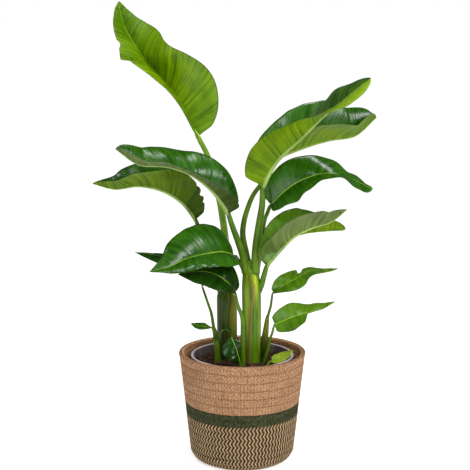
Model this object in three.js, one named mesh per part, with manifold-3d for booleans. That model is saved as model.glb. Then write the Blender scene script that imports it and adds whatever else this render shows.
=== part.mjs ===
// Potted bird of paradise: the plant in its nursery pot, standing in a basket of braided rows.
// Millimetres, +Z up. The origin is the centre of the basket's underside, on the floor.
// The plant's fan faces -Y. "Right" and "left" halves of a leaf are seen looking from its base to
// its tip, with the upper face up.

import * as THREE from 'three';
import { ParametricGeometry } from 'three/addons/geometries/ParametricGeometry.js';
import * as BufferGeometryUtils from 'three/addons/utils/BufferGeometryUtils.js';
import Module from 'manifold-3d';

const wasm = await Module();
wasm.setup();

// ---- driving dimensions ----

const SEAT_GAP = 0.3; // between pieces that rest on each other

const BASKET_RIM_RADIUS = 126;
const BASKET_FOOT_RADIUS = 101; // where the wall's slope would meet the floor
const BASKET_HEIGHT = 222;
const BASKET_WALL = 6.5;
const BASKET_FLAT_RADIUS = 75; // flat underside
const BASKET_CORNER_TOP = 27; // height where the rounded corner becomes the wall
const BASKET_FLOOR = 8;
const CORNER_STEPS = 5;
const CORNER_INSIDE_STEP = 5; // the inside of the corner, in from the wall and out from the flat
const CORNER_INSIDE_REACH = 8;
const CORNER_INSIDE_SHARE = 0.55; // of the corner's height
const BAND_BOTTOM = 97; // the two green rows
const BAND_TOP = 121.5;
const RIM_ROUNDING = 3;
const ROUND_STEPS = 48;

const POT_RIM_RADIUS = 102.5;
const POT_RIM_TOP = 215;
const POT_RIM_DEPTH = 12;
const POT_RIM_LIP = 3;
const POT_FOOT_RADIUS = 80;
const POT_WALL = 2;
const DRAIN_HOLES = 6;
const DRAIN_RADIUS = 7;
const DRAIN_RING_RADIUS = 56;

const SOIL_TOP = 200;

const STEM_SIDES = 12;
const LEAF_THICKNESS = 1.3;
const BLADE_STACKS = 12;
const STALK_STACKS = 7;
const SMALL_BLADE_STACKS = 8;
const SMALL_STALK_STACKS = 4;
const BLADE_START = 0.012; // first and last station along the rib, as shares of its length
const BLADE_END = 0.985;
const BLADE_SPACING = 0.85; // below 1 the stations crowd towards the tip
const RIB_TIP_RADIUS = 0.8;
const RIB_TAPER = 1.6; // the rib is at its thinnest by this part of the way, as 1 / RIB_TAPER
const KEEL_DEPTH = 1.4; // how far the rib stands out below, in rib radii
const LOBE_REACH = 0.25; // share of the blade whose margin sweeps back past the stalk
const RING_POINTS = 8; // margin, mid, rib, mid, margin, under mid, keel, under mid
const UPPER_SKIN = [0, 1, 2, 3, 4];
const LOWER_SKIN = [0, 7, 6, 5, 4];
const ARC_SAMPLES = 200;
const CUT_TOLERANCE = 0.1; // slivers thinner than this are cleared away where a stalk is cut

// ---- materials ----

function finish(colour, roughness) {
  return new THREE.MeshStandardMaterial({ color: colour, roughness, metalness: 0 });
}

const tanJute = finish(0xb08a63, 0.9);
const greenJute = finish(0x2f3a26, 0.9);
const twoToneJute = finish(0x8a6f4c, 0.9);
const potPlastic = finish(0x6d625f, 0.55);
const pottingSoil = finish(0x3c281e, 0.95);
const stemGreen = finish(0x5f8a1e, 0.5);
const oldSheath = finish(0x7a7a34, 0.6);
const brightLeaf = finish(0x659a12, 0.4);
const darkLeaf = finish(0x2c5c12, 0.35);

// ---- helpers for closed solids ----

function toSolid(geometry) {
  const bare = geometry.clone();
  bare.deleteAttribute('normal');
  bare.deleteAttribute('uv');
  const merged = BufferGeometryUtils.mergeVertices(bare, 1e-4);
  const corners = [];
  const index = merged.index.array;
  for (let i = 0; i < index.length; i += 3) {
    const [a, b, c] = [index[i], index[i + 1], index[i + 2]];
    if (a !== b && b !== c && c !== a) corners.push(a, b, c);
  }
  const mesh = new wasm.Mesh({
    numProp: 3,
    vertProperties: new Float32Array(merged.attributes.position.array),
    triVerts: new Uint32Array(corners),
  });
  return new wasm.Manifold(mesh);
}

function toGeometry(solid) {
  const mesh = solid.getMesh();
  const geometry = new THREE.BufferGeometry();
  geometry.setAttribute('position', new THREE.BufferAttribute(mesh.vertProperties, 3));
  geometry.setIndex(new THREE.BufferAttribute(mesh.triVerts, 1));
  geometry.computeVertexNormals();
  return geometry;
}

// A profile of [radius, height] points, turned about +Z. It runs anticlockwise from the bottom.
function turned(profile) {
  const points = profile.map(([r, z]) => new THREE.Vector2(r, z));
  const geometry = new THREE.LatheGeometry(points, ROUND_STEPS);
  return geometry.rotateX(Math.PI / 2);
}

function closedProfile(profile) {
  return [...profile, profile[0]];
}

// ---- basket ----

function basketOuterRadius(z) {
  const slope = (BASKET_RIM_RADIUS - BASKET_FOOT_RADIUS) / BASKET_HEIGHT;
  return BASKET_FOOT_RADIUS + slope * z;
}

// The wall between two heights, as a ring of four corners.
function basketRing(bottom, top) {
  return closedProfile([
    [basketOuterRadius(bottom) - BASKET_WALL, bottom],
    [basketOuterRadius(bottom), bottom],
    [basketOuterRadius(top), top],
    [basketOuterRadius(top) - BASKET_WALL, top],
  ]);
}

function basketBaseProfile() {
  const top = BASKET_CORNER_TOP;
  const wide = basketOuterRadius(top);
  const profile = [[0, 0]];
  for (let i = 0; i <= CORNER_STEPS; i += 1) {
    const turn = (i / CORNER_STEPS) * (Math.PI / 2);
    const r = BASKET_FLAT_RADIUS + (wide - BASKET_FLAT_RADIUS) * Math.sin(turn);
    profile.push([r, top * (1 - Math.cos(turn))]);
  }
  profile.push([wide - BASKET_WALL, top]);
  profile.push([wide - BASKET_WALL - CORNER_INSIDE_STEP, top * CORNER_INSIDE_SHARE]);
  profile.push([BASKET_FLAT_RADIUS + CORNER_INSIDE_REACH, BASKET_FLOOR]);
  profile.push([0, BASKET_FLOOR]);
  return profile;
}

function basketUpperProfile() {
  const bottom = BAND_TOP + SEAT_GAP;
  const outer = basketOuterRadius(BASKET_HEIGHT);
  const shoulder = BASKET_HEIGHT - RIM_ROUNDING;
  return closedProfile([
    [basketOuterRadius(bottom) - BASKET_WALL, bottom],
    [basketOuterRadius(bottom), bottom],
    [basketOuterRadius(shoulder), shoulder],
    [outer - BASKET_WALL / 2, BASKET_HEIGHT],
    [outer - BASKET_WALL, shoulder],
  ]);
}

// ---- nursery pot and soil ----

const potFloor = BASKET_FLOOR + SEAT_GAP;

function potOuterRadius(z) {
  const share = (z - potFloor) / (POT_RIM_TOP - potFloor);
  const wallTop = POT_RIM_RADIUS - POT_RIM_LIP;
  return POT_FOOT_RADIUS + (wallTop - POT_FOOT_RADIUS) * share;
}

function potProfile() {
  const lipBottom = POT_RIM_TOP - POT_RIM_DEPTH;
  const floorTop = potFloor + POT_WALL;
  return [
    [0, potFloor],
    [POT_FOOT_RADIUS, potFloor],
    [potOuterRadius(lipBottom), lipBottom],
    [POT_RIM_RADIUS, lipBottom],
    [POT_RIM_RADIUS, POT_RIM_TOP],
    [potOuterRadius(POT_RIM_TOP) - POT_WALL, POT_RIM_TOP],
    [potOuterRadius(floorTop) - POT_WALL, floorTop],
    [0, floorTop],
  ];
}

function nurseryPot() {
  let pot = toSolid(turned(potProfile()));
  for (let i = 0; i < DRAIN_HOLES; i += 1) {
    const turn = (i / DRAIN_HOLES) * 2 * Math.PI;
    const hole = new THREE.CylinderGeometry(DRAIN_RADIUS, DRAIN_RADIUS, POT_WALL * 4, 10);
    hole.rotateX(Math.PI / 2);
    hole.translate(
      DRAIN_RING_RADIUS * Math.cos(turn), DRAIN_RING_RADIUS * Math.sin(turn), potFloor + POT_WALL / 2,
    );
    pot = pot.subtract(toSolid(hole));
  }
  return toGeometry(pot);
}

// extra raises the soil's top, to cut a seat in what stands on it.
function soilProfile(extra = 0) {
  const bottom = potFloor + POT_WALL + SEAT_GAP;
  const clear = POT_WALL + SEAT_GAP;
  const top = SOIL_TOP + extra;
  return [
    [0, bottom],
    [potOuterRadius(bottom) - clear, bottom],
    [potOuterRadius(top) - clear, top],
    [0, top],
  ];
}

// ---- stems: stacked rings of [x, y, z, half width, half depth] ----

function stem(rings, extra = 0) {
  const last = rings.length - 1;
  const place = (u, v, target) => {
    const step = Math.round(v * (last + 2)) - 1;
    const [x, y, z, wide, deep] = rings[Math.min(Math.max(step, 0), last)];
    const closing = step < 0 || step > last;
    const turn = u * 2 * Math.PI;
    const lift = (step <= 0 ? -extra : 0) + (step >= last ? extra : 0);
    const reach = closing ? 0 : 1;
    const across = reach * (wide + extra) * Math.cos(turn);
    const back = reach * (deep + extra) * Math.sin(turn);
    target.set(x + across, y + back, z + lift);
  };
  return new ParametricGeometry(place, STEM_SIDES, last + 2);
}

const stemFoot = SOIL_TOP + SEAT_GAP;

const mainStemRings = [
  [20, 0, stemFoot, 16, 17],
  [20, 0, 245, 17, 18],
  [19, 0, 300, 18.5, 19],
  [18, 1, 350, 18.5, 19],
  [17, 3, 380, 17, 18],
  [16, 4, 392, 13, 14],
];

const rearStemRings = [
  [-29, 34, stemFoot, 18, 17],
  [-30, 35, 260, 20, 19],
  [-31, 37, 320, 19.5, 18],
  [-33, 40, 345, 16, 14],
  [-34, 41, 352, 12, 10],
];

const leftShootRings = [
  [-49, -4, stemFoot, 7, 6],
  [-51, -3, 235, 6, 5],
  [-55, 4, 262, 4.5, 4.5],
];

const rightShootRings = [
  [41, 12, stemFoot, 7, 6],
  [46, 13, 250, 6.5, 5.5],
  [50, 11, 285, 4, 4],
];

// ---- leaves ----

// Half width of a blade along its length, as a share of its widest.
function outlineShare(t, fullest, baseRound, tipRound) {
  if (t < fullest) return Math.sin((Math.PI / 2) * (t / fullest)) ** baseRound;
  const past = Math.min((t - fullest) / (1 - fullest), 1);
  return Math.max(Math.cos((Math.PI / 2) * past), 0) ** tipRound;
}

// A smooth value between a few that are given at even steps.
function along(values, t) {
  const curve = new THREE.SplineCurve(values.map((value, i) => new THREE.Vector2(i, value)));
  return curve.getPoint(t).y;
}

function curveThrough(points) {
  const curve = new THREE.CatmullRomCurve3(points.map((p) => new THREE.Vector3(...p)));
  curve.curveType = 'catmullrom';
  curve.arcLengthDivisions = ARC_SAMPLES;
  return curve;
}

// Directions at a place on the rib: forward, level sideways (to the right) and up.
function ribFrame(curve, t) {
  const forward = curve.getTangentAt(t);
  const side = new THREE.Vector3().crossVectors(forward, new THREE.Vector3(0, 0, 1)).normalize();
  const up = new THREE.Vector3().crossVectors(side, forward);
  return { forward, side, up };
}

// One half of a blade at a station: its outward direction, its upper normal and its width.
function halfBlade(leaf, key, t, frame) {
  const half = leaf[key];
  const hand = key === 'right' ? 1 : -1;
  const rise = THREE.MathUtils.degToRad(along(half.rise, t));
  const out = new THREE.Vector3();
  out.addScaledVector(frame.side, hand * Math.cos(rise)).addScaledVector(frame.up, Math.sin(rise));
  const upper = new THREE.Vector3().crossVectors(frame.forward, out).multiplyScalar(-hand);
  let width = half.width * outlineShare(t, leaf.fullest, leaf.baseRound, leaf.tipRound);
  for (const [from, to, change] of half.nicks ?? []) {
    if (t > from && t < to) width *= 1 + change;
  }
  return { out, upper, width };
}

// The eight points of a blade's section, in order round the ring.
function bladeRing(leaf, curve, t) {
  const frame = ribFrame(curve, t);
  const rib = curve.getPointAt(t);
  const right = halfBlade(leaf, 'right', t, frame);
  const left = halfBlade(leaf, 'left', t, frame);
  const thin = LEAF_THICKNESS / 2;
  const ribSize = THREE.MathUtils.lerp(leaf.stalkRadius[1], RIB_TIP_RADIUS, Math.min(t * RIB_TAPER, 1));
  const lobe = leaf.lobe * Math.max(1 - t / LOBE_REACH, 0) ** 2;
  const upward = new THREE.Vector3().addVectors(right.upper, left.upper).normalize();

  const onHalf = (half, share, face) => {
    const width = Math.max(half.width, ribSize);
    const arch = leaf.arch * width * 4 * share * (1 - share);
    return rib.clone()
      .addScaledVector(half.out, share * width)
      .addScaledVector(frame.forward, -lobe * share * width)
      .addScaledVector(half.upper, arch + face * thin);
  };
  return [
    onHalf(left, 1, 0),
    onHalf(left, 0.5, 1),
    rib.clone().addScaledVector(upward, thin),
    onHalf(right, 0.5, 1),
    onHalf(right, 1, 0),
    onHalf(right, 0.5, -1),
    rib.clone().addScaledVector(upward, -ribSize * KEEL_DEPTH),
    onHalf(left, 0.5, -1),
  ];
}

// The rings of a stalk, each turned as little as possible from the blade's first ring.
function stalkRings(leaf, bladeCurve, stacks) {
  const curve = curveThrough(leaf.stalk);
  const start = ribFrame(bladeCurve, 0);
  let side = start.side.clone();
  const rings = [];
  for (let i = stacks; i >= 0; i -= 1) {
    const t = i / stacks;
    const forward = curve.getTangentAt(t);
    side = side.clone().addScaledVector(forward, -side.dot(forward)).normalize();
    const up = new THREE.Vector3().crossVectors(side, forward);
    const radius = THREE.MathUtils.lerp(leaf.stalkRadius[0], leaf.stalkRadius[1], t);
    const centre = curve.getPointAt(t);
    const ring = [];
    for (let k = 0; k < RING_POINTS; k += 1) {
      const turn = Math.PI - (k / RING_POINTS) * 2 * Math.PI;
      ring.push(centre.clone()
        .addScaledVector(side, radius * Math.cos(turn))
        .addScaledVector(up, radius * Math.sin(turn)));
    }
    rings.unshift(ring);
  }
  return rings;
}

function middleOf(ring) {
  const sum = new THREE.Vector3();
  for (const point of ring) sum.add(point);
  return sum.divideScalar(ring.length);
}

// One skin of the leaf, from its left margin across to its right margin. Both skins share their
// creases, so they stay parallel where the blade twists.
function leafSkin(rings, across, turnedOver) {
  const place = (u, v, target) => {
    const ring = rings[Math.round(v * (rings.length - 1))];
    target.copy(ring[across[Math.round(u * (across.length - 1))]]);
  };
  const geometry = new ParametricGeometry(place, across.length - 1, rings.length - 1);
  if (turnedOver) {
    const index = geometry.index.array;
    for (let i = 0; i < index.length; i += 3) {
      [index[i], index[i + 1]] = [index[i + 1], index[i]];
    }
  }
  return geometry;
}

// Stalk and blade are one body of rings, closed at the stalk's foot and at the tip. A strip torn
// from a blade has no stalk.
function leafGeometry(leaf) {
  const curve = curveThrough(leaf.rib);
  const bladeStacks = leaf.small ? SMALL_BLADE_STACKS : BLADE_STACKS;
  const stalkStacks = leaf.small ? SMALL_STALK_STACKS : STALK_STACKS;
  const rings = leaf.stalk ? stalkRings(leaf, curve, stalkStacks).slice(0, -1) : [];
  for (let i = 0; i <= bladeStacks; i += 1) {
    const t = Math.min(BLADE_START + (i / bladeStacks) ** BLADE_SPACING, BLADE_END);
    rings.push(bladeRing(leaf, curve, t));
  }
  rings.unshift(Array(RING_POINTS).fill(middleOf(rings[0])));
  rings.push(Array(RING_POINTS).fill(curve.getPointAt(1)));
  return BufferGeometryUtils.mergeGeometries([
    leafSkin(rings, UPPER_SKIN, false),
    leafSkin(rings, LOWER_SKIN, true),
  ]);
}

// rise: how far each half stands above level, in degrees, at five even stations from the base.
const leaves = {
  crown_leaf: {
    stalk: [
      [-26, 43, 337], [-30, 47, 392], [-35, 50, 453], [-46, 50, 522], [-66, 46, 600],
      [-86, 40, 643],
    ],
    stalkRadius: [9, 5],
    rib: [
      [-86, 40, 643], [-117, 53, 699], [-153, 70, 750], [-195, 90, 796], [-229, 107, 846],
      [-242, 115, 880], [-246, 118, 908],
    ],
    right: { width: 84, rise: [60, 64, 112, 76, 62] },
    left: { width: 78, rise: [18, 22, 8, -6, -4], nicks: [[0.56, 0.66, 0.35]] },
    fullest: 0.28,
    baseRound: 0.65,
    tipRound: 0.8,
    arch: 0.06,
    lobe: 0.25,
    material: brightLeaf,
  },
  upper_left_leaf: {
    stalk: [[7, -2, 380], [2, 0, 412], [-9, 3, 445], [-18, 2, 469], [-27, 0, 497]],
    stalkRadius: [8.5, 5],
    rib: [
      [-27, 0, 497], [-56, -15, 541], [-95, -31, 576], [-144, -45, 596], [-198, -57, 602],
      [-241, -65, 633],
    ],
    right: { width: 58, rise: [95, 82, 40, 44, 60] },
    left: { width: 56, rise: [50, 10, 8, 18, 25] },
    fullest: 0.42,
    baseRound: 0.4,
    tipRound: 0.6,
    arch: 0.1,
    lobe: 0.4,
    material: darkLeaf,
  },
  lower_left_leaf: {
    stalk: [[-44, 40, 335], [-59, 48, 392], [-77, 52, 436], [-92, 50, 476]],
    stalkRadius: [7, 4.5],
    rib: [
      [-92, 50, 476], [-121, 50, 512], [-161, 50, 536], [-207, 48, 545], [-253, 44, 540],
      [-297, 40, 552],
    ],
    right: { width: 58, rise: [40, 45, 60, 66, 80] },
    left: { width: 56, rise: [65, 84, 48, 40, 60] },
    fullest: 0.35,
    baseRound: 0.5,
    tipRound: 0.8,
    arch: 0.1,
    lobe: 0.3,
    material: darkLeaf,
  },
  rear_upper_right_leaf: {
    stalk: [
      [15, 19, 380], [8, 21, 413], [1, 23, 450], [3, 24, 477], [10, 26, 503], [21, 28, 530],
      [36, 30, 551],
    ],
    stalkRadius: [7, 4.5],
    rib: [
      [36, 30, 551], [68, 47, 597], [119, 66, 618], [174, 85, 632], [229, 104, 640],
      [272, 120, 676],
    ],
    right: { width: 66, rise: [45, 45, 42, 33, 50] },
    left: { width: 84, rise: [60, 60, 80, 84, 75] },
    fullest: 0.5,
    baseRound: 0.8,
    tipRound: 0.5,
    arch: 0.08,
    lobe: 0.1,
    material: darkLeaf,
  },
  front_upper_right_leaf: {
    stalk: [[25, -5, 380], [27, -7, 433], [33, -13, 483], [38, -18, 519], [39, -20, 554]],
    stalkRadius: [10, 5.5],
    rib: [
      [39, -20, 554], [68, -31, 606], [110, -45, 648], [151, -58, 691], [194, -74, 730],
      [238, -92, 768],
    ],
    right: { width: 66, rise: [60, 46, 24, -16, -45] },
    left: { width: 62, rise: [80, 54, 20, 40, 28] },
    fullest: 0.3,
    baseRound: 0.36,
    tipRound: 0.6,
    arch: 0.08,
    lobe: 0.35,
    material: brightLeaf,
  },
  right_middle_leaf: {
    stalk: [[29, 15, 380.5], [37, 22, 433], [43, 22, 478], [49, 18, 496], [54, 10, 511]],
    stalkRadius: [6, 4],
    rib: [
      [54, 10, 511], [84, -1, 544], [122, -13, 569], [165, -24, 581], [209, -31, 571],
      [251, -35, 552],
    ],
    right: { width: 54, rise: [-30, -38, -18, 12, 20] },
    left: { width: 49, rise: [95, 92, 48, 12, 10] },
    fullest: 0.4,
    baseRound: 0.42,
    tipRound: 0.8,
    arch: 0.06,
    lobe: 0.3,
    material: darkLeaf,
  },
  right_lower_leaf: {
    stalk: [[28, -2, 335], [37, -4, 356], [42, -8, 375], [47, -12, 394]],
    stalkRadius: [7.5, 5],
    rib: [
      [47, -12, 394], [73, -10, 424], [102, -6, 452], [137, 0, 469], [175, 8, 480], [206, 14, 504],
    ],
    right: { width: 60, rise: [60, 48, 46, 50, 70] },
    left: { width: 55, rise: [104, 84, 64, 26, 45], nicks: [[0.72, 1.1, -0.4]] },
    fullest: 0.4,
    baseRound: 0.4,
    tipRound: 0.8,
    arch: 0.1,
    lobe: 0.15,
    material: darkLeaf,
    tornStrip: {
      rib: [[112, -4, 457], [128, 2, 464], [153, 9, 468], [179, 12, 469], [204, 15, 465]],
      stalkRadius: [2, 1.6],
      right: { width: 8, rise: [-75, -75, -75, -75, -75] },
      left: { width: 15, rise: [70, 75, 80, 80, 80] },
      fullest: 0.6,
      baseRound: 0.5,
      tipRound: 0.5,
      arch: 0.05,
      lobe: 0,
      small: true,
    },
  },
  left_middle_leaf: {
    stalk: [[10, 9, 365], [0, 13, 388], [-7, 13, 401], [-13, 10, 411]],
    stalkRadius: [4.5, 3.8],
    rib: [
      [-13, 10, 411], [-38, -18, 425], [-73, -45, 426], [-107, -69, 422], [-139, -93, 411],
      [-176, -110, 405],
    ],
    right: { width: 62, rise: [54, 60, 58, 46, 55] },
    left: { width: 57, rise: [-30, -22, -14, -19, -20] },
    fullest: 0.36,
    baseRound: 0.5,
    tipRound: 1,
    arch: 0.1,
    lobe: 0.08,
    material: darkLeaf,
  },
  shaded_leaf: {
    stalk: [
      [1, -30, 195], [1, -30, 241], [1, -30, 283], [-1, -30, 300], [-9, -30, 321], [-14, -30, 342],
    ],
    stalkRadius: [6, 3.5],
    rib: [
      [-14, -30, 342], [-27, -38, 366], [-47, -45, 383], [-71, -53, 393], [-98, -62, 394],
      [-124, -70, 392],
    ],
    right: { width: 50, rise: [70, 50, 25, 10, 0] },
    left: { width: 48, rise: [-20, -22, -32, -38, -44] },
    fullest: 0.42,
    baseRound: 0.5,
    tipRound: 0.9,
    arch: 0.08,
    lobe: 0.2,
    material: darkLeaf,
  },
  hidden_small_leaf: {
    stalk: [[-55, 6, 257], [-58, 12, 272], [-62, 25, 292], [-69, 40, 309], [-80, 55, 338]],
    stalkRadius: [3.5, 2.2],
    rib: [
      [-80, 55, 338], [-87, 44, 370], [-114, 35, 390], [-146, 27, 404], [-179, 18, 413],
      [-212, 10, 419],
    ],
    right: { width: 30, rise: [80, 60, 18, 2, 0] },
    left: { width: 30, rise: [-60, -40, -30, -40, -40] },
    fullest: 0.42,
    baseRound: 0.6,
    tipRound: 0.9,
    arch: 0.08,
    lobe: 0.1,
    material: darkLeaf,
    small: true,
  },
  low_left_leaf: {
    stalk: [[-52, -4, 245], [-56, -8, 260], [-60, -10, 271]],
    stalkRadius: [2.5, 2],
    rib: [[-60, -10, 271], [-75, -14, 274], [-88, -18, 277], [-102, -25, 283]],
    right: { width: 11, rise: [5, 31, 29, 24, 14] },
    left: { width: 13, rise: [0, -8, -20, -40, -60] },
    fullest: 0.42,
    baseRound: 0.6,
    tipRound: 0.9,
    arch: 0.05,
    lobe: 0.1,
    material: darkLeaf,
    small: true,
  },
  low_right_sprout: {
    stalk: [[-49, -4, 236], [-45, -9, 254], [-42, -10, 264]],
    stalkRadius: [2.5, 2],
    rib: [[-42, -10, 264], [-35, -12, 268], [-27, -14, 266], [-19, -16, 260]],
    right: { width: 12, rise: [20, 20, 10, 0, -10] },
    left: { width: 12, rise: [30, 30, 20, 10, 0] },
    fullest: 0.42,
    baseRound: 0.6,
    tipRound: 0.9,
    arch: 0.05,
    lobe: 0.1,
    material: darkLeaf,
    small: true,
  },
  folded_leaf: {
    stalk: [[-3, -48, 195], [-4, -48, 200], [-4, -48, 205], [-5, -48, 211]],
    stalkRadius: [3, 2.4],
    rib: [[-5, -48, 211], [-9, -50, 228], [-14, -50, 244], [-21, -46, 261]],
    right: { width: 11, rise: [60, 60, 60, 50, 40] },
    left: { width: 29, rise: [-70, -75, -75, -65, -50] },
    fullest: 0.6,
    baseRound: 0.6,
    tipRound: 0.6,
    arch: 0.1,
    lobe: 0.1,
    material: darkLeaf,
    small: true,
  },
  right_upper_small_leaf: {
    stalk: [[49, 11, 280], [54, 10, 300], [57, 9, 312], [60, 10, 336]],
    stalkRadius: [3.2, 2.2],
    rib: [
      [60, 10, 336], [81, -1, 354], [105, -10, 370], [129, -18, 386], [158, -26, 391],
      [187, -30, 395],
    ],
    right: { width: 28, rise: [-15, -35, -47, -10, -27] },
    left: { width: 27, rise: [140, 60, 21, 0, -3], nicks: [[0.42, 0.5, -0.5]] },
    fullest: 0.42,
    baseRound: 0.6,
    tipRound: 0.8,
    arch: 0.06,
    lobe: 0.1,
    material: darkLeaf,
    small: true,
  },
  right_lower_small_leaf: {
    stalk: [[42, -8, 195], [51, -10, 228], [55, -12, 249], [59, -14, 260], [63, -15, 278]],
    stalkRadius: [4, 2.4],
    rib: [
      [63, -15, 278], [85, -23, 290], [108, -31, 301], [133, -37, 309], [158, -41, 317],
      [181, -45, 332],
    ],
    right: { width: 29, rise: [-60, -60, -31, 5, 13], nicks: [[0.54, 1.1, -0.85]] },
    left: { width: 28, rise: [90, 90, 34, 37, 34] },
    fullest: 0.35,
    baseRound: 0.4,
    tipRound: 0.8,
    arch: 0.06,
    lobe: 0.4,
    material: brightLeaf,
    small: true,
  },
  pot_seedling_leaf: {
    stalk: [[48, -35, 196], [51, -33, 204], [58, -30, 209]],
    stalkRadius: [2.2, 1.8],
    rib: [[58, -30, 209], [76, -34, 216], [90, -37, 224], [99, -39, 232]],
    right: { width: 17, rise: [-10, -19, -17, -23, -30] },
    left: { width: 14, rise: [60, 38, 34, 27, 29] },
    fullest: 0.42,
    baseRound: 0.4,
    tipRound: 0.7,
    arch: 0.06,
    lobe: 0.3,
    material: brightLeaf,
    small: true,
  },
};

// ---- assembly ----

const plant = new THREE.Group();

function add(name, geometry, material) {
  const mesh = new THREE.Mesh(geometry, material);
  mesh.name = name;
  plant.add(mesh);
}

add('basket_base', turned(basketBaseProfile()), twoToneJute);
const lowerWall = basketRing(BASKET_CORNER_TOP + SEAT_GAP, BAND_BOTTOM - SEAT_GAP);
add('basket_lower_wall', turned(lowerWall), twoToneJute);
add('basket_green_band', turned(basketRing(BAND_BOTTOM, BAND_TOP)), greenJute);
add('basket_upper_wall', turned(basketUpperProfile()), tanJute);
add('nursery_pot', nurseryPot(), potPlastic);
add('root_ball', turned(soilProfile()), pottingSoil);

const stems = {
  main_stem: [mainStemRings, stemGreen],
  rear_stem: [rearStemRings, oldSheath],
  left_shoot_stem: [leftShootRings, stemGreen],
  right_shoot_stem: [rightShootRings, oldSheath],
};
const seats = [toSolid(turned(soilProfile(SEAT_GAP)))];
for (const [name, [rings, material]] of Object.entries(stems)) {
  add(name, stem(rings), material);
  seats.push(toSolid(stem(rings, SEAT_GAP)));
}

// A stalk comes out of its stem's sheath or out of the soil, so its foot is cut to that surface.
for (const [name, leaf] of Object.entries(leaves)) {
  let blade = toSolid(leafGeometry(leaf));
  if (leaf.tornStrip) blade = blade.add(toSolid(leafGeometry(leaf.tornStrip)));
  for (const seat of seats) blade = blade.subtract(seat);
  add(name, toGeometry(blade.simplify(CUT_TOLERANCE)), leaf.material);
}

export default plant;
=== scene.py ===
"""Potted bird of paradise: long-stalked leaves in a nursery pot, in a basket of sewn flat braid.

Lengths of the pieces are in millimetres and turned into metres when a mesh is made; lamps and the
camera are placed in metres. The origin is the centre of the basket's underside, +Z is up and the
leaves face -Y. The right half of a leaf is the half on the right when looking from its base to its
tip with the upper face up.
"""

import math

import bpy
import numpy as np
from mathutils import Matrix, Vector


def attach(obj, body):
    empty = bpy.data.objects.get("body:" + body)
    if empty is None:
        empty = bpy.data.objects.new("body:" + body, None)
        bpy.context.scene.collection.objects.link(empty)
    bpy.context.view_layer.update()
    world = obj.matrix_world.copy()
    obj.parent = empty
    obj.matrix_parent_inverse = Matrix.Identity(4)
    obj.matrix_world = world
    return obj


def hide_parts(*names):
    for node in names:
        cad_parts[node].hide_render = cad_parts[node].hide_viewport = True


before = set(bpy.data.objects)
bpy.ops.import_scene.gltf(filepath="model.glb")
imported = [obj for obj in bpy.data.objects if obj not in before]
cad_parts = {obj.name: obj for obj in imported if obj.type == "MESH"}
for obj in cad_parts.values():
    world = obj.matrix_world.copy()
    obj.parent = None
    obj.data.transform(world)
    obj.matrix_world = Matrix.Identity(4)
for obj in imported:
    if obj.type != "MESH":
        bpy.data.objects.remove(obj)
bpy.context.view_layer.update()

MM = 0.001
UP = np.array([0.0, 0.0, 1.0])

# -------- basket, pot and soil sizes
BASKET_HEIGHT = 222.0
BASKET_RIM_RADIUS = 126.0
BASKET_FOOT_RADIUS = 101.0
BASKET_WALL = 6.5
BASKET_FLAT_RADIUS = 75.0
BASKET_CORNER_TOP = 27.0
BASE_FLOOR = 8.0
LOWER_SEAMS = [27.0, 41.0, 55.0, 69.0, 83.0, 97.0]
BAND_SEAMS = [97.0, 109.0, 121.5]
UPPER_SEAMS = [121.5, 138.0, 154.0, 170.5, 187.0, 204.0, 222.0]
ROUND_COLUMNS = 720
PLAITS_ROUND = 184  # strands round the wall, light and dark in turn in the lower rows
FINE_PLAITS_ROUND = 240  # in the green and the tan rows
LIGHT_SHARE = 0.42  # of a pair of strands, how much the light one takes
BRAID_SLANT = 0.62  # how far a strand leans from a seam to the row's middle, in pairs of strands
STRAND_ROUNDNESS = 2.2  # power of the curve across a strand
SEAM_REACH = 0.13  # share of a row that a seam draws in, at each of its edges
WALL_SWAY = 0.5  # how far the wall wavers from a true circle
OUTER_STEP = 1.2  # height of a step of the wall outside and in the rim
INNER_STEP = 8  # and lower down inside
RIM_INSIDE = 34  # how far down inside the small steps go
RIM_DEPTH = 15.0  # the top row swells into a rounded rim
RIM_ROUND = (4.4, 3.6)  # where the rim's round starts below the top, and how high it is
RIM_SWELL_IN = 3.2
RIM_SWELL_OUT = 0.8
CREST_DEPTH = 0.9  # how far the strands stand out from the cracks between them
ROW_BULGE = 0.6
BASE_ROW = 14.0  # width of a row on the corner and the underside

POT_RIM_RADIUS = 102.5
POT_RIM_TOP = 215.0
POT_RIM_DEPTH = 12.0
POT_LIP = 3.0
POT_LIP_ROUND = 1.6
POT_FOOT_RADIUS = 80.0
POT_WALL = 2.0
POT_FLOOR = 8.3
SOIL_TOP = 199.5
SOIL_BOTTOM = 11.8
SOIL_GAPS = (0.4, 0.6)  # to the pot's wall at the top and at the bottom
STEM_FOOT = 194.0  # the stems reach this far down into the soil
CHIP_COUNT = 520

# -------- leaf mesh density and shape
STATIONS = (150, 32)  # along the blade and along the stalk
SMALL_STATIONS = (64, 14)  # on small leaves
STATION_CROWDING = 0.92  # under 1 crowds them to the tip
COLUMN_CROWDING = 1.15  # over 1 crowds the columns to the rib
BLADE_COLUMNS = 17  # on each half, from the rib's edge to the margin
RIB_COLUMNS = 4
TOP_RIB_COLUMNS = 2  # of those, how many are pale on the upper face
STALK_BLEND = 0.05  # share of the rib over which the stalk flattens into the blade
STALK_GROOVE = 0.22
BLADE_THICKNESS = 0.7
RIB_TIP_RADIUS = 0.6
KEEL_DEPTH = 1.0  # how far the rib stands out below, in rib radii
RIB_DISH = 0.05  # how far it sinks in above
LOBE_REACH = 0.25  # share of the rib along which the base can reach back
VEIN_SLOPE = (0.15, 0.7)  # how far a vein runs forward at the base, and what the tip adds
EDGE_WOBBLE = 0.015  # how far a margin wavers, as a share of the half's width
NICK_EDGE = 0.012  # share of the rib over which a nick begins or ends
FINE_PLEAT = (0.14, 1.55)  # height and pace of the narrow pleats along the veins
PLEAT_WANDER = (2.2, 13.0)  # by how much and how slowly their spacing changes
BROAD_PLEAT = (0.34, 4.4)


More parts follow.
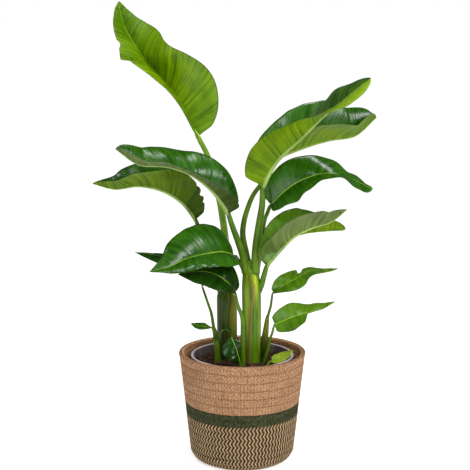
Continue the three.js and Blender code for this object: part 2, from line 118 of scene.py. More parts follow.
# -------- node helpers
def srgb(red, green, blue):
    """A colour given as 0 to 255 on a screen, as the linear values that a shader takes."""
    made = []
    for value in (red, green, blue):
        share = value / 255.0
        made.append(share / 12.92 if share <= 0.04045 else ((share + 0.055) / 1.055) ** 2.4)
    return (*made, 1.0)


def fill(tree, node, values):
    """Links or sets the inputs given by name or number, and returns the node's outputs."""
    for label, value in values.items():
        if isinstance(value, bpy.types.NodeSocket):
            tree.links.new(value, node.inputs[label])
        else:
            node.inputs[label].default_value = value
    return node.outputs


def maths(tree, operation, *values):
    node = tree.nodes.new("ShaderNodeMath")
    node.operation = operation
    return fill(tree, node, dict(enumerate(values)))[0]


def times(tree, first, second):
    return maths(tree, "MULTIPLY", first, second)


def times_plus(tree, first, second, third):
    return maths(tree, "MULTIPLY_ADD", first, second, third)


def spread(tree, value, low, high, to_low=0.0, to_high=1.0):
    """Maps low..high smoothly to to_low..to_high and holds it outside."""
    node = tree.nodes.new("ShaderNodeMapRange")
    node.interpolation_type = "SMOOTHSTEP"
    ends = {"From Min": low, "From Max": high, "To Min": to_low, "To Max": to_high}
    return fill(tree, node, {"Value": value, **ends})["Result"]


def blend_colour(tree, share, first, second, mode="MIX"):
    node = tree.nodes.new("ShaderNodeMix")
    node.data_type = "RGBA"
    node.blend_type = mode
    return fill(tree, node, {0: share, 6: first, 7: second})[2]


def blend_value(tree, share, first, second):
    return fill(tree, tree.nodes.new("ShaderNodeMix"), {0: share, 2: first, 3: second})[0]


def grain(tree, position, scale, detail=2.0, roughness=0.5, dimensions="3D"):
    """Noise with about scale grains to a metre."""
    node = tree.nodes.new("ShaderNodeTexNoise")
    node.noise_dimensions = dimensions
    place = "W" if dimensions == "1D" else "Vector"
    values = {"Scale": scale, "Detail": detail, "Roughness": roughness, place: position}
    return fill(tree, node, values)["Fac"]


def stretched(tree, position, scale):
    node = tree.nodes.new("ShaderNodeMapping")
    return fill(tree, node, {"Vector": position, "Scale": scale})["Vector"]


def apart(tree, vector):
    return fill(tree, tree.nodes.new("ShaderNodeSeparateXYZ"), {0: vector})


def attribute(tree, name):
    node = tree.nodes.new("ShaderNodeAttribute")
    node.attribute_type = "GEOMETRY"
    node.attribute_name = name
    return node.outputs["Vector"]


def place_of(tree):
    return tree.nodes.new("ShaderNodeTexCoord").outputs["Object"]


def shared_effect(name, inputs, build):
    """A shader group. inputs are names with a default, None for a vector; build gives values."""
    group = bpy.data.node_groups.new(name, "ShaderNodeTree")
    for label, default in inputs.items():
        kind = "NodeSocketVector" if default is None else "NodeSocketFloat"
        socket = group.interface.new_socket(name=label, in_out="INPUT", socket_type=kind)
        if default is not None:
            socket.default_value = default
    results = build(group, group.nodes.new("NodeGroupInput").outputs)
    for label in results:
        group.interface.new_socket(name=label, in_out="OUTPUT", socket_type="NodeSocketFloat")
    fill(group, group.nodes.new("NodeGroupOutput"), results)
    return group


def use_group(tree, group, values):
    node = tree.nodes.new("ShaderNodeGroup")
    node.node_tree = group
    return fill(tree, node, values)


def tone_of(tree):
    return use_group(tree, MOTTLE, {"Position": place_of(tree)})["Tone"]


def finish_material(name, colour, roughness, relief=1.0, depth=0.001, shine=None):
    """colour makes nodes in the tree and gives a colour, and a height and roughness if wanted."""
    material = bpy.data.materials.new(name)
    material.use_nodes = True
    tree = material.node_tree
    shader = tree.nodes["Principled BSDF"]
    made = colour(tree)
    values = {"Base Color": made["colour"], "Roughness": made.get("roughness", roughness)}
    if "height" in made:
        bump = tree.nodes.new("ShaderNodeBump")
        raised = {"Strength": relief, "Distance": depth, "Height": made["height"]}
        values["Normal"] = fill(tree, bump, raised)["Normal"]
    if shine is not None:
        values["Specular IOR Level"] = shine
    fill(tree, shader, values)
    return material


# -------- shared effects
def leaf_veins(tree, given):
    """Place is (metres along the vein front, share across, share along)."""
    front, across, along = apart(tree, given["Place"])
    side = maths(tree, "ABSOLUTE", across)
    fan = times_plus(tree, side, 0.006, front)
    return {
        "Fine": spread(tree, grain(tree, front, 420.0, 2.0, 0.6, "1D"), 0.3, 0.7),
        "Broad": spread(tree, grain(tree, front, 110.0, 1.0, 0.5, "1D"), 0.3, 0.7),
        "Streaks": spread(tree, grain(tree, fan, 210.0, 1.0, 0.5, "1D"), 0.5, 0.68),
        "Near Rib": spread(tree, side, 0.01, 0.07, 1.0, 0.0),
        "Near Margin": spread(tree, side, 0.965, 0.995),
        "Near Base": spread(tree, along, 0.02, 0.45, 1.0, 0.0),
        "Near Tip": spread(tree, along, 0.45, 0.95),
        "Right Half": spread(tree, across, 0.0, 0.05),
    }


def slow_mottle(tree, given):
    """Slow change of tone over a surface."""
    return {"Tone": spread(tree, grain(tree, given["Position"], 22.0, 3.0, 0.55), 0.35, 0.65)}


def jute_fibre(tree, given):
    """Fine fibres of jute yarn: short hairs and dark pits."""
    hair = grain(tree, given["Position"], 420.0, 3.0, 0.7)
    pits = grain(tree, given["Position"], 330.0, 2.0, 0.6)
    return {"Hair": spread(tree, hair, 0.45, 0.65), "Pits": spread(tree, pits, 0.5, 0.6)}


def flat_braid(tree, given):
    """Flat braid round the axis. Arrow is 0 at a row's seams and 1 at its middle.

    Strands run up to the middle of a row and back, so they make arrowheads. Crest is 1 along the
    middle of a strand and 0 in the cracks; Light is 1 on every second strand; Chance differs from
    strand to strand.
    """
    x, y, _ = apart(tree, given["Position"])
    light_share = given["Light Share"]
    turn = maths(tree, "DIVIDE", maths(tree, "ARCTAN2", y, x), 2 * math.pi)
    slant = times(tree, given["Arrow"], BRAID_SLANT)
    pairs = times_plus(tree, turn, given["Pairs Round"], slant)
    part = maths(tree, "FRACT", pairs)
    light = maths(tree, "LESS_THAN", part, light_share)
    in_light = maths(tree, "DIVIDE", part, light_share)
    in_dark = maths(tree, "SUBTRACT", part, light_share)
    in_dark = maths(tree, "DIVIDE", in_dark, maths(tree, "SUBTRACT", 1.0, light_share))
    across = blend_value(tree, light, in_dark, in_light)
    away = maths(tree, "ABSOLUTE", times_plus(tree, across, 2.0, -1.0))
    crest = maths(tree, "SUBTRACT", 1.0, maths(tree, "POWER", away, STRAND_ROUNDNESS))
    number = times_plus(tree, maths(tree, "FLOOR", pairs), 2.0, light)
    strands_apart = 517.0  # more than a row has strands, so each strand has its own number
    number = times_plus(tree, given["Row"], strands_apart, number)
    noise = tree.nodes.new("ShaderNodeTexWhiteNoise")
    noise.noise_dimensions = "1D"
    return {"Crest": crest, "Light": light, "Chance": fill(tree, noise, {"W": number})["Value"]}


BRAID_INPUTS = {"Position": None, "Arrow": 0.0, "Row": 0.0, "Pairs Round": 90.0, "Light Share": 0.5}
VEINS = shared_effect("leaf veins", {"Place": None}, leaf_veins)
MOTTLE = shared_effect("slow mottle", {"Position": None}, slow_mottle)
FIBRE = shared_effect("jute fibre", {"Position": None}, jute_fibre)
BRAID = shared_effect("flat braid", BRAID_INPUTS, flat_braid)


# -------- leaf finishes
NO_SHADE = (1.0, 1.0, 1.0)
STREAK_SHADE = (0.4, 0.5, 0.35)
FINE_VEINS = 0.3  # how strongly the fine veins show in the colour
VEIN_RELIEF = 0.35  # and in the relief
RIB_STRIP = 0.35  # how strongly the strip by the rib shows
MARGIN_LINE = 0.85
# how strongly the painted light on the right half towards the tip shows
PAINTED_LIT_HALF = 0.85


def leaf_face(name, colours, gloss, shine, streaks, base_shade, tip_shade=NO_SHADE, painted_lit_half=None):
    """A leaf surface: veins, dark streaks, a paler strip by the rib and a line along the margin.

    colours are for the deep and the light tone, the strip by the rib and the margin. base_shade and
    tip_shade say what share of the red, green and blue is left at the two ends; the darkening at
    the base is painted shade, where the blade lies deeper among the other leaves. painted_lit_half
    is painted light: the colour painted on the right half towards the tip, which faces the lamps.
    """
    deep, light, rib, margin = (srgb(*each) for each in colours)

    def colour(tree):
        veins = use_group(tree, VEINS, {"Place": attribute(tree, "leaf_place")})
        tone = tone_of(tree)

        def shaded(made, mask, shade):
            return blend_colour(tree, mask, made, (*shade, 1.0), "MULTIPLY")

        def tinted(made, mask, strength, tint):
            return blend_colour(tree, times(tree, mask, strength), made, tint)

        share = times_plus(tree, tone, 0.5, times(tree, veins["Broad"], 0.5))
        made = tinted(blend_colour(tree, share, deep, light), veins["Fine"], FINE_VEINS, light)
        # painted shade: the colour darkens towards the base, deeper among the other leaves
        made = shaded(made, veins["Near Base"], base_shade)
        made = shaded(made, veins["Near Tip"], tip_shade)
        made = shaded(made, times(tree, veins["Streaks"], streaks), STREAK_SHADE)
        # painted light: the right half towards the tip is painted lighter where it faces the lamps
        if painted_lit_half:
            painted_lit_mask = times(tree, veins["Right Half"], veins["Near Tip"])
            made = tinted(made, painted_lit_mask, PAINTED_LIT_HALF, srgb(*painted_lit_half))
        made = tinted(made, veins["Near Rib"], RIB_STRIP, rib)
        made = tinted(made, veins["Near Margin"], MARGIN_LINE, margin)
        height = times_plus(tree, veins["Fine"], VEIN_RELIEF, veins["Broad"])
        return {"colour": made, "roughness": times_plus(tree, tone, 0.1, gloss), "height": height}

    return finish_material(name, colour, gloss, 0.35, 0.0005, shine)


def rib_face(name, deep, light, gloss):
    def colour(tree):
        streak = grain(tree, stretched(tree, place_of(tree), (1.0, 1.0, 0.12)), 260.0, 2.0, 0.5)
        share = times_plus(tree, streak, 0.5, times(tree, tone_of(tree), 0.5))
        return {"colour": blend_colour(tree, share, srgb(*deep), srgb(*light)), "height": streak}

    return finish_material(name, colour, gloss, 0.3, 0.0004, 0.3)


DARK_UPPER = leaf_face(
    "dark_leaf_upper", [(18, 64, 0), (54, 112, 4), (110, 165, 20), (30, 45, 3)],
    0.22, 0.6, 0.45, (0.9, 0.9, 0.9), (0.9, 0.9, 0.9),
)
# The right half of this leaf towards the tip is painted lighter: painted light.
FRONT_UPPER = leaf_face(
    "front_leaf_upper", [(26, 62, 4), (66, 104, 20), (130, 170, 50), (40, 55, 5)],
    0.24, 0.6, 0.6, (0.8, 0.8, 0.8), painted_lit_half=(134, 170, 10),
)
# A darker copy of the upper face for the low leaves under the others: painted shade.
PAINTED_SHADE_UPPER = leaf_face(
    "painted_shade_leaf_upper", [(6, 34, 0), (30, 78, 2), (90, 140, 16), (16, 26, 2)],
    0.22, 0.5, 0.4, (0.45, 0.5, 0.45),
)
MID_UPPER = leaf_face(
    "mid_leaf_upper", [(54, 102, 2), (104, 150, 16), (150, 190, 40), (50, 65, 4)],
    0.26, 0.6, 0.4, (0.8, 0.85, 0.8),
)
# Partly the leaf's own yellow-green and partly painted light shining through the blade.
BRIGHT_UPPER = leaf_face(
    "bright_leaf_upper", [(68, 106, 0), (126, 162, 0), (170, 205, 60), (50, 70, 3)],
    0.3, 0.25, 0.65, (0.66, 0.76, 0.64), (0.52, 0.66, 0.5),
)
GREY_UNDER = leaf_face(
    "grey_green_underside", [(58, 76, 20), (100, 117, 58), (140, 168, 84), (40, 50, 14)],
    0.5, 0.12, 0.5, (0.5, 0.6, 0.42),
)
SILVERY_UNDER = leaf_face(
    "silvery_underside", [(62, 82, 22), (108, 127, 62), (146, 174, 88), (40, 50, 14)],
    0.42, 0.2, 0.5, (0.86, 0.92, 0.8),
)
LIVELY_UNDER = leaf_face(
    "lively_underside", [(58, 84, 4), (102, 132, 18), (150, 180, 70), (46, 66, 4)],
    0.45, 0.12, 0.6, (0.4, 0.5, 0.35),
)
# Partly the underside's own yellow-green and partly painted light shining through the blade.
BRIGHT_UNDER = leaf_face(
    "bright_underside", [(72, 106, 2), (116, 146, 10), (160, 195, 80), (60, 80, 5)],
    0.45, 0.1, 0.65, (0.9, 0.92, 0.8), (0.72, 0.78, 0.9),
)
SEEDLING_FACE = leaf_face(
    "seedling_leaf", [(124, 154, 24), (174, 198, 56), (200, 220, 100), (190, 180, 110)],
    0.3, 0.3, 0.4, (0.9, 0.9, 0.9),
)
YELLOW_RIB = rib_face("yellow_rib", (164, 198, 50), (214, 236, 112), 0.4)
BRIGHT_RIB = rib_face("bright_rib", (136, 182, 24), (184, 222, 60), 0.4)
PALE_RIB = rib_face("pale_rib", (112, 140, 60), (166, 190, 106), 0.45)
STALK_GREEN = rib_face("stalk_green", (46, 82, 2), (98, 134, 16), 0.38)
STALK_BRIGHT = rib_face("stalk_bright", (80, 124, 6), (136, 174, 30), 0.38)


def leaf_finishes(upper, under, upper_rib=BRIGHT_RIB, under_rib=PALE_RIB, stalk=STALK_GREEN):
    return [upper, under, upper_rib, under_rib, stalk]


DARK = leaf_finishes(DARK_UPPER, GREY_UNDER)
MIDDLE = leaf_finishes(MID_UPPER, GREY_UNDER)
SILVERY = leaf_finishes(MID_UPPER, SILVERY_UNDER)
TORN = leaf_finishes(BRIGHT_UNDER, GREY_UNDER, BRIGHT_UNDER, BRIGHT_UNDER)
BRIGHT = leaf_finishes(BRIGHT_UPPER, BRIGHT_UNDER, YELLOW_RIB, stalk=STALK_BRIGHT)
LIVELY = leaf_finishes(DARK_UPPER, LIVELY_UNDER)
REAR = leaf_finishes(DARK_UPPER, BRIGHT_UNDER)
FRONT = leaf_finishes(FRONT_UPPER, BRIGHT_UNDER)
# painted shade, for the low leaves that lie under the others
SHADED = leaf_finishes(PAINTED_SHADE_UPPER, GREY_UNDER)
SEEDLING = leaf_finishes(SEEDLING_FACE, SEEDLING_FACE, stalk=STALK_BRIGHT)


# -------- curves and rings
def through_points(padded, pieces, u):
    """Catmull-Rom values at u, from 0 to pieces; padded has one more value at each end."""
    i = np.minimum(u.astype(int), pieces - 1)
    f = (u - i).reshape(-1, *[1] * (padded.ndim - 1))
    a, b, c, d = (padded[i + k] for k in range(4))
    return 0.5 * (2 * b + (c - a) * f + (2 * a - 5 * b + 4 * c - d) * f**2
                  + (3 * b - a - 3 * c + d) * f**3)


def smooth_values(values, t):
    """Smooth values through even steps, the first and last repeated."""
    values = np.asarray(values, float)
    padded = np.concatenate([values[:1], values, values[-1:]])
    pieces = len(values) - 1
    return through_points(padded, pieces, np.clip(np.asarray(t, float) * pieces, 0, pieces))


class Path:
    """A smooth line through points, read by share of its length."""

    def __init__(self, points, samples=600):
        points = np.asarray(points, float)
        padded = np.vstack([2 * points[0] - points[1], points, 2 * points[-1] - points[-2]])
        pieces = len(points) - 1
        self.line = through_points(padded, pieces, np.linspace(0, pieces, samples + 1))
        steps = np.linalg.norm(np.diff(self.line, axis=0), axis=1)
        self.run = np.concatenate([[0], np.cumsum(steps)])
        self.length = self.run[-1]

    def at(self, t):
        w = np.asarray(t, float) * self.length
        return np.stack([np.interp(w, self.run, self.line[:, k]) for k in range(3)], -1)

    def forward(self, t):
        step = 0.004
        ahead = self.at(np.minimum(np.asarray(t) + step, 1.0))
        behind = self.at(np.maximum(np.asarray(t) - step, 0.0))
        way = ahead - behind
        return way / np.linalg.norm(way, axis=-1, keepdims=True)


def unit(vectors):
    return vectors / np.maximum(np.linalg.norm(vectors, axis=-1, keepdims=True), 1e-12)


def eased(share):
    return share * share * (3 - 2 * share)


def full_turn(columns):
    return np.arange(columns) / columns * 2 * np.pi


def turned(radius, height, turn):
    """Rings of points round the axis."""
    return np.stack(np.broadcast_arrays(radius * np.cos(turn), radius * np.sin(turn), height), -1)


def ring_faces(rings, columns):
    """Quads between rings of the same number of points, in rows."""
    row = np.arange(rings - 1)[:, None]
    column = np.arange(columns)[None, :]
    after = (column + 1) % columns
    a = row * columns + column
    b = row * columns + after
    c = (row + 1) * columns + after
    d = (row + 1) * columns + column
    return np.stack([a, b, c, d], -1).reshape(-1, 4)


def closed_tube(rings, first_tip, last_tip):
    """Points and faces of rings of points, with a fan of triangles to a tip at each end."""
    count, columns = rings.shape[:2]
    points = np.vstack([rings.reshape(-1, 3), [first_tip], [last_tip]])
    faces = ring_faces(count, columns).tolist()
    tip = count * columns
    last = tip - columns
    for k in range(columns):
        after = (k + 1) % columns
        faces.append([tip, after, k])
        faces.append([tip + 1, last + k, last + after])
    return points, faces


def set_out(name, data):
    """An object of this name in the scene."""
    made = bpy.data.objects.new(name, data)
    bpy.context.scene.collection.objects.link(made)
    return made


def make_piece(name, points, faces, materials, picks=None, places=None, smooth=True):
    """points in millimetres; faces as lists; picks is a material number for each face."""
    mesh = bpy.data.meshes.new(name)
    mesh.from_pydata((np.asarray(points) * MM).tolist(), [], faces)
    for material in materials:
        mesh.materials.append(material)
    if picks is not None:
        mesh.polygons.foreach_set("material_index", np.asarray(picks, dtype=np.int32))
    if smooth:
        mesh.polygons.foreach_set("use_smooth", np.ones(len(mesh.polygons), dtype=bool))
    for label, values in (places or {}).items():
        layer = mesh.attributes.new(label, "FLOAT_VECTOR", "POINT")
        layer.data.foreach_set("vector", np.asarray(values, dtype=np.float32).ravel())
    mesh.update()
    mesh.validate()
    return set_out(name, mesh)


def stand_for(piece, node):
    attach(piece, "root")
    if node:
        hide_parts(node)


def wave(values, seed, count=4, lowest=1.0, highest=4.0):
    """A smooth made-up wobble between about -1 and 1."""
    chance = np.random.default_rng(seed)
    total = np.zeros_like(np.asarray(values, float))
    for _ in range(count):
        pace = chance.uniform(lowest, highest)
        shift = chance.uniform(0, 2 * np.pi)
        total = total + chance.uniform(0.5, 1.0) * np.sin(2 * np.pi * pace * values + shift)
    return total / count


# -------- leaves
def outline_share(t, fullest, base_round, tip_round):
    rising = np.sin(np.pi / 2 * np.clip(t / fullest, 0, 1)) ** base_round
    past = np.clip((t - fullest) / (1 - fullest), 0, 1)
    falling = np.maximum(np.cos(np.pi / 2 * past), 0) ** tip_round
    return np.where(t < fullest, rising, falling)


def rib_radius(leaf, t):
    base = leaf["radii"][1] * 0.8
    return base + (RIB_TIP_RADIUS - base) * np.minimum(t * 1.15, 1.0) ** 0.7


def blade_half(leaf, hand, t, forward, side, up):
    """Which way a half goes at each station, its upper side, and how wide it is."""
    widest, rises, *nicks = leaf["right" if hand > 0 else "left"]
    rise = np.radians(smooth_values(rises, t))[:, None]
    out = hand * np.cos(rise) * side + np.sin(rise) * up
    seed = leaf["seed"] + (7 if hand > 0 else 11)
    width = widest * outline_share(t, *leaf["outline"]) * (1 + EDGE_WOBBLE * wave(t, seed, 5, 3, 11))
    for start, stop, first, last in nicks:
        inside = np.clip((t - start) / NICK_EDGE, 0, 1) * np.clip((stop - t) / NICK_EDGE, 0, 1)
        width = width * (1 + np.interp(t, [start, stop], [first, last]) * inside)
    return out, -hand * np.cross(forward, out), width


def pleated(vein, seed):
    """Height of the pleats at each distance along the vein front."""
    wander = PLEAT_WANDER[0] * np.sin(vein / PLEAT_WANDER[1])
    fine = FINE_PLEAT[0] * np.sin(vein / FINE_PLEAT[1] + wander)
    return fine + BROAD_PLEAT[0] * np.sin(vein / BROAD_PLEAT[1] + seed)


def blade_rings(leaf, path, t):
    """Points of the upper and lower skins at each station, and each point's leaf place."""
    arch, lobe, ripple, pleat = leaf["surface"]
    forward = path.forward(t)
    side = unit(np.cross(forward, UP))
    up = np.cross(side, forward)
    centre = path.at(t)
    radius = rib_radius(leaf, t)
    lobed = lobe * np.maximum(1 - t / LOBE_REACH, 0) ** 2
    halves = {hand: blade_half(leaf, hand, t, forward, side, up) for hand in (-1, 1)}
    ridge = unit(halves[-1][1] + halves[1][1])

    def half_columns(hand):
        out, upper, width = halves[hand]
        width = np.maximum(width, radius * 1.05)
        rib_steps = np.linspace(0, 1, RIB_COLUMNS + 1)[:-1]
        blade_steps = np.linspace(0, 1, BLADE_COLUMNS + 1) ** COLUMN_CROWDING
        columns = [(radius * step, 1 - step) for step in rib_steps]
        columns += [(radius + (width - radius) * step, 0.0) for step in blade_steps]
        tops, unders, places = [], [], []
        for reach, inside in columns:  # inside is how far a column is within the rib
            share = reach / width
            bow = arch * width * 4 * share * (1 - share)
            vein = t * path.length - (VEIN_SLOPE[0] + VEIN_SLOPE[1] * t) * reach
            fade = np.clip((share - 0.06) * 6, 0, 1) * np.clip((1.02 - share) * 8, 0, 1)
            rippled = ripple * share**2 * wave(t, leaf["seed"] + hand, 4, 1.5, 6.5)
            lift = bow + rippled + fade * pleated(vein, leaf["seed"]) * pleat
            middle = centre + reach[:, None] * out - (lobed * reach)[:, None] * forward
            middle = middle + lift[:, None] * upper
            normal = unit(upper * (1 - inside) + ridge * inside)
            thick = BLADE_THICKNESS / 2 * np.clip((1 - share) * 12, 0.25, 1)
            dish = RIB_DISH * radius * math.sqrt(inside)
            keel = KEEL_DEPTH * radius * math.sqrt(1 - (1 - inside) ** 2)
            tops.append(middle + (thick - dish)[:, None] * normal)
            unders.append(middle - (thick + keel)[:, None] * normal)
            places.append(np.stack([vein * MM, hand * share, t], -1))
        return tops, unders, places

    left, right = half_columns(-1), half_columns(1)
    skins = [left[0][::-1] + right[0][1:], right[1][::-1] + left[1][1:]]
    places = left[2][::-1] + right[2][1:] + right[2][::-1] + left[2][1:]
    return np.stack(skins[0] + skins[1], 1), np.stack(places, 1)


def stalk_angles():
    """Angles for the same columns as a blade ring, the blade's columns close to the two sides."""
    narrow = math.radians(16)
    edge = math.radians(0.5)  # keeps the upper and the lower skin apart at the two sides
    rib = np.linspace(math.pi / 2, narrow, RIB_COLUMNS + 1)[:-1]
    right = np.concatenate([rib, np.linspace(narrow, edge, BLADE_COLUMNS + 1)])
    left = math.pi - right
    return np.concatenate([left[::-1], right[1:], -right[::-1], -left[1:]])


def stalk_ring(leaf, centre, forward, side, share):
    """A round ring with a groove on its upper side."""
    foot, top = leaf["radii"]
    radius = foot + (top - foot) * share
    turn = stalk_angles()
    groove = 1 - STALK_GROOVE * np.exp(-((np.abs(np.degrees(turn) - 90) / 32) ** 2))
    wide, tall = np.cos(turn) * groove, np.sin(turn) * groove
    return centre + radius * (wide[:, None] * side + tall[:, None] * np.cross(side, forward))


def blend_to_stalk(leaf, path, t, rings):
    """Turns the stalk's round section into the blade's over the first part of the rib."""
    for k in np.nonzero(t < STALK_BLEND)[0]:
        way = path.forward(t[k])
        round_ring = stalk_ring(leaf, path.at(t[k]), way, unit(np.cross(way, UP)), 1.0)
        share = eased(t[k] / STALK_BLEND)
        rings[k] = round_ring * (1 - share) + rings[k] * share


def leaf_body(leaf):
    """Points, faces, material numbers and leaf places of one blade with its stalk, if it has one."""
    path = Path(leaf.get("stalk", [])[-1:] + leaf["rib"])
    blade_count, stalk_count = leaf.get("stations", STATIONS)
    t = 0.002 + 0.996 * np.linspace(0, 1, blade_count + 1) ** STATION_CROWDING
    rings, places = blade_rings(leaf, path, t)
    if "stalk" in leaf:
        stalk = Path(leaf["stalk"])
        side = unit(np.cross(path.forward(0.0), UP))
        stalk_rings = []
        for share in np.linspace(1, 0, stalk_count + 1)[1:]:
            way = stalk.forward(share)
            side = unit(side - way * np.dot(side, way))
            stalk_rings.append(stalk_ring(leaf, stalk.at(share), way, side, share))
        blend_to_stalk(leaf, path, t, rings)
        stalk_places = np.zeros((stalk_count, rings.shape[1], 3))
        stalk_places[..., 2] = np.linspace(-1, 0, stalk_count + 1)[:-1, None]
        rings = np.concatenate([np.array(stalk_rings[::-1]), rings])
        places = np.concatenate([stalk_places, places])
    else:
        stalk_count = 0
    points, faces = closed_tube(rings, rings[0].mean(0), path.at(1.0))
    spots = np.vstack([places.reshape(-1, 3), [[0, 0, -1]], [[0, 0, 1]]])

    count, columns = rings.shape[:2]
    half = columns // 2
    column = np.arange(columns)
    upper = column < half
    upper_rib = np.abs(column + 0.5 - (half - 1) / 2) < TOP_RIB_COLUMNS
    under_rib = np.abs(column + 0.5 - half - (half - 1) / 2) < RIB_COLUMNS
    ring_pick = np.where(upper, np.where(upper_rib, 2, 0), np.where(under_rib, 3, 1))
    in_blade = (np.arange(count - 1) >= stalk_count)[:, None]
    end_pick = np.stack([np.full(columns, 4), np.where(upper, 0, 1)], -1)
    picks = np.concatenate([np.where(in_blade, ring_pick, 4).ravel(), end_pick.ravel()])
    return points, faces, picks.tolist(), spots


def leaf_mesh(name, leaf):
    points, faces, picks, spots = leaf_body(leaf)
    finishes = list(leaf["finish"])
    if "torn_strip" in leaf:
        more_points, more_faces, more_picks, more_spots = leaf_body(leaf["torn_strip"])
        faces += [[len(points) + k for k in face] for face in more_faces]
        picks += [len(finishes) + k for k in more_picks]
        points = np.vstack([points, more_points])
        spots = np.vstack([spots, more_spots])
        finishes += leaf["torn_strip"]["finish"]
    return make_piece(name, points, faces, finishes, picks, {"leaf_place": spots})


# stalk: points from its foot to the blade; rib: points from there to the tip
# right, left: width of the half, how far it stands above level in degrees at even stations from the
#   base, and its nicks as (start, stop, change of the width there and there)
# radii: of the stalk at its foot and at the blade
# outline: where along the rib the blade is fullest, and how round its base and its tip are
# surface: arch across a half, reach of the lobes at the base, ripple of the margin, pleats
# seed: for the made-up wobbles; slot: of the look
# The torn strip has no stalk, so its rib starts at its own first point.
TORN_STRIP = dict(
    rib=[(112, -4, 457), (128, 2, 464), (153, 9, 468), (179, 12, 469), (204, 15, 465)],
    right=(8, [-75, -75, -75, -75, -75]), left=(15, [70, 75, 80, 80, 80]), radii=(2, 1.6),
    outline=(0.6, 0.5, 0.5), surface=(0.05, 0, 0.8, 0.5), finish=TORN, seed=26,
    stations=SMALL_STATIONS,
)
LEAVES = {}
LEAVES["crown_leaf"] = dict(
    stalk=[(-26, 43, 337), (-30, 47, 392), (-35, 50, 453), (-46, 50, 522), (-66, 46, 600),
           (-86, 40, 643)],
    rib=[(-117, 53, 699), (-153, 70, 750), (-195, 90, 796), (-229, 107, 846), (-242, 115, 880),
         (-246, 118, 908)],
    right=(84, [60, 64, 112, 76, 62]),
    left=(78, [18, 22, 8, -6, -4], (0.59, 0.71, 0.52, 0.04), (0.71, 0.76, -0.12, -0.12)),
    radii=(9, 5), outline=(0.28, 0.65, 0.8), surface=(0.06, 0.25, 1.5, 1.0), finish=BRIGHT, seed=10,
    slot="bright_leaf",
)
LEAVES["upper_left_leaf"] = dict(
    stalk=[(7, -2, 380), (2, 0, 412), (-9, 3, 445), (-18, 2, 469), (-27, 0, 497)],
    rib=[(-56, -15, 541), (-95, -31, 576), (-144, -45, 596), (-198, -57, 602), (-241, -65, 633)],
    right=(58, [95, 82, 40, 44, 60]),
    left=(56, [50, 10, 8, 18, 25], (0.07, 0.1, -0.1, -0.1), (0.17, 0.19, -0.08, -0.08)),
    radii=(8.5, 5), outline=(0.42, 0.4, 0.44), surface=(0.1, 0.4, 2.0, 1.0), finish=DARK, seed=11,
)
LEAVES["lower_left_leaf"] = dict(
    stalk=[(-44, 40, 335), (-59, 48, 392), (-77, 52, 436), (-92, 50, 476)],
    rib=[(-121, 50, 512), (-161, 50, 536), (-207, 48, 545), (-253, 44, 540), (-297, 40, 552)],
    right=(58, [40, 45, 60, 66, 80]),
    left=(56, [65, 84, 48, 40, 60], (0.1, 0.125, -0.1, -0.1), (0.14, 0.17, -0.14, -0.14),
          (0.19, 0.21, -0.08, -0.08)),
    radii=(7, 4.5), outline=(0.35, 0.5, 0.8), surface=(0.1, 0.3, 1.5, 1.0), finish=LIVELY, seed=12,
)
LEAVES["rear_upper_right_leaf"] = dict(
    stalk=[(15, 19, 380), (8, 21, 413), (1, 23, 450), (3, 24, 477), (10, 26, 503), (21, 28, 530),
           (36, 30, 551)],
    rib=[(68, 47, 597), (119, 66, 618), (174, 85, 632), (229, 104, 640), (272, 120, 676)],
    right=(66, [45, 45, 42, 33, 50]), left=(84, [60, 60, 80, 84, 75]), radii=(7, 4.5),
    outline=(0.5, 0.8, 0.36), surface=(0.08, 0.1, 1.5, 0.45), finish=REAR, seed=13,
)
LEAVES["front_upper_right_leaf"] = dict(
    stalk=[(25, -5, 380), (27, -7, 433), (33, -13, 483), (38, -18, 519), (39, -20, 554)],
    rib=[(68, -31, 606), (110, -45, 648), (151, -58, 691), (194, -74, 730), (238, -92, 768)],
    right=(66, [60, 46, 24, -16, -45]), left=(62, [80, 54, 20, 40, 28]), radii=(10, 5.5),
    outline=(0.3, 0.36, 0.5), surface=(0.08, 0.35, 2.0, 1.0), finish=FRONT, seed=14,
    slot="bright_leaf",
)
LEAVES["right_middle_leaf"] = dict(
    stalk=[(29, 15, 380.5), (37, 22, 433), (43, 22, 478), (49, 18, 496), (54, 10, 511)],
    rib=[(84, -1, 544), (122, -13, 569), (165, -24, 581), (209, -31, 571), (251, -35, 552)],
    right=(54, [-30, -38, -18, 2, -44]), left=(49, [95, 92, 48, 12, 10]), radii=(6, 4),
    outline=(0.4, 0.42, 0.55), surface=(0.06, 0.3, 5.0, 1.0), finish=DARK, seed=15,
)
LEAVES["right_lower_leaf"] = dict(
    stalk=[(28, -2, 335), (37, -4, 356), (42, -8, 375), (47, -12, 394)],
    rib=[(73, -10, 424), (102, -6, 452), (137, 0, 469), (175, 8, 480), (206, 14, 504)],
    right=(60, [60, 48, 46, 50, 70]), left=(55, [104, 84, 64, 26, 45], (0.72, 1.1, -0.4, -0.4)),
    radii=(7.5, 5), outline=(0.4, 0.4, 0.8), surface=(0.1, 0.15, 3.0, 1.0), finish=SILVERY, seed=16,
    torn_strip=TORN_STRIP,
)
LEAVES["left_middle_leaf"] = dict(
    stalk=[(10, 9, 365), (0, 13, 388), (-7, 13, 401), (-13, 10, 411)],
    rib=[(-38, -18, 425), (-73, -45, 426), (-107, -69, 422), (-139, -93, 411), (-176, -110, 405)],
    right=(62, [54, 60, 58, 46, 55]), left=(57, [-30, -22, -14, -19, -20]), radii=(4.5, 3.8),
    outline=(0.36, 0.5, 1), surface=(0.1, 0.08, 1.5, 1.0), finish=DARK, seed=17,
)
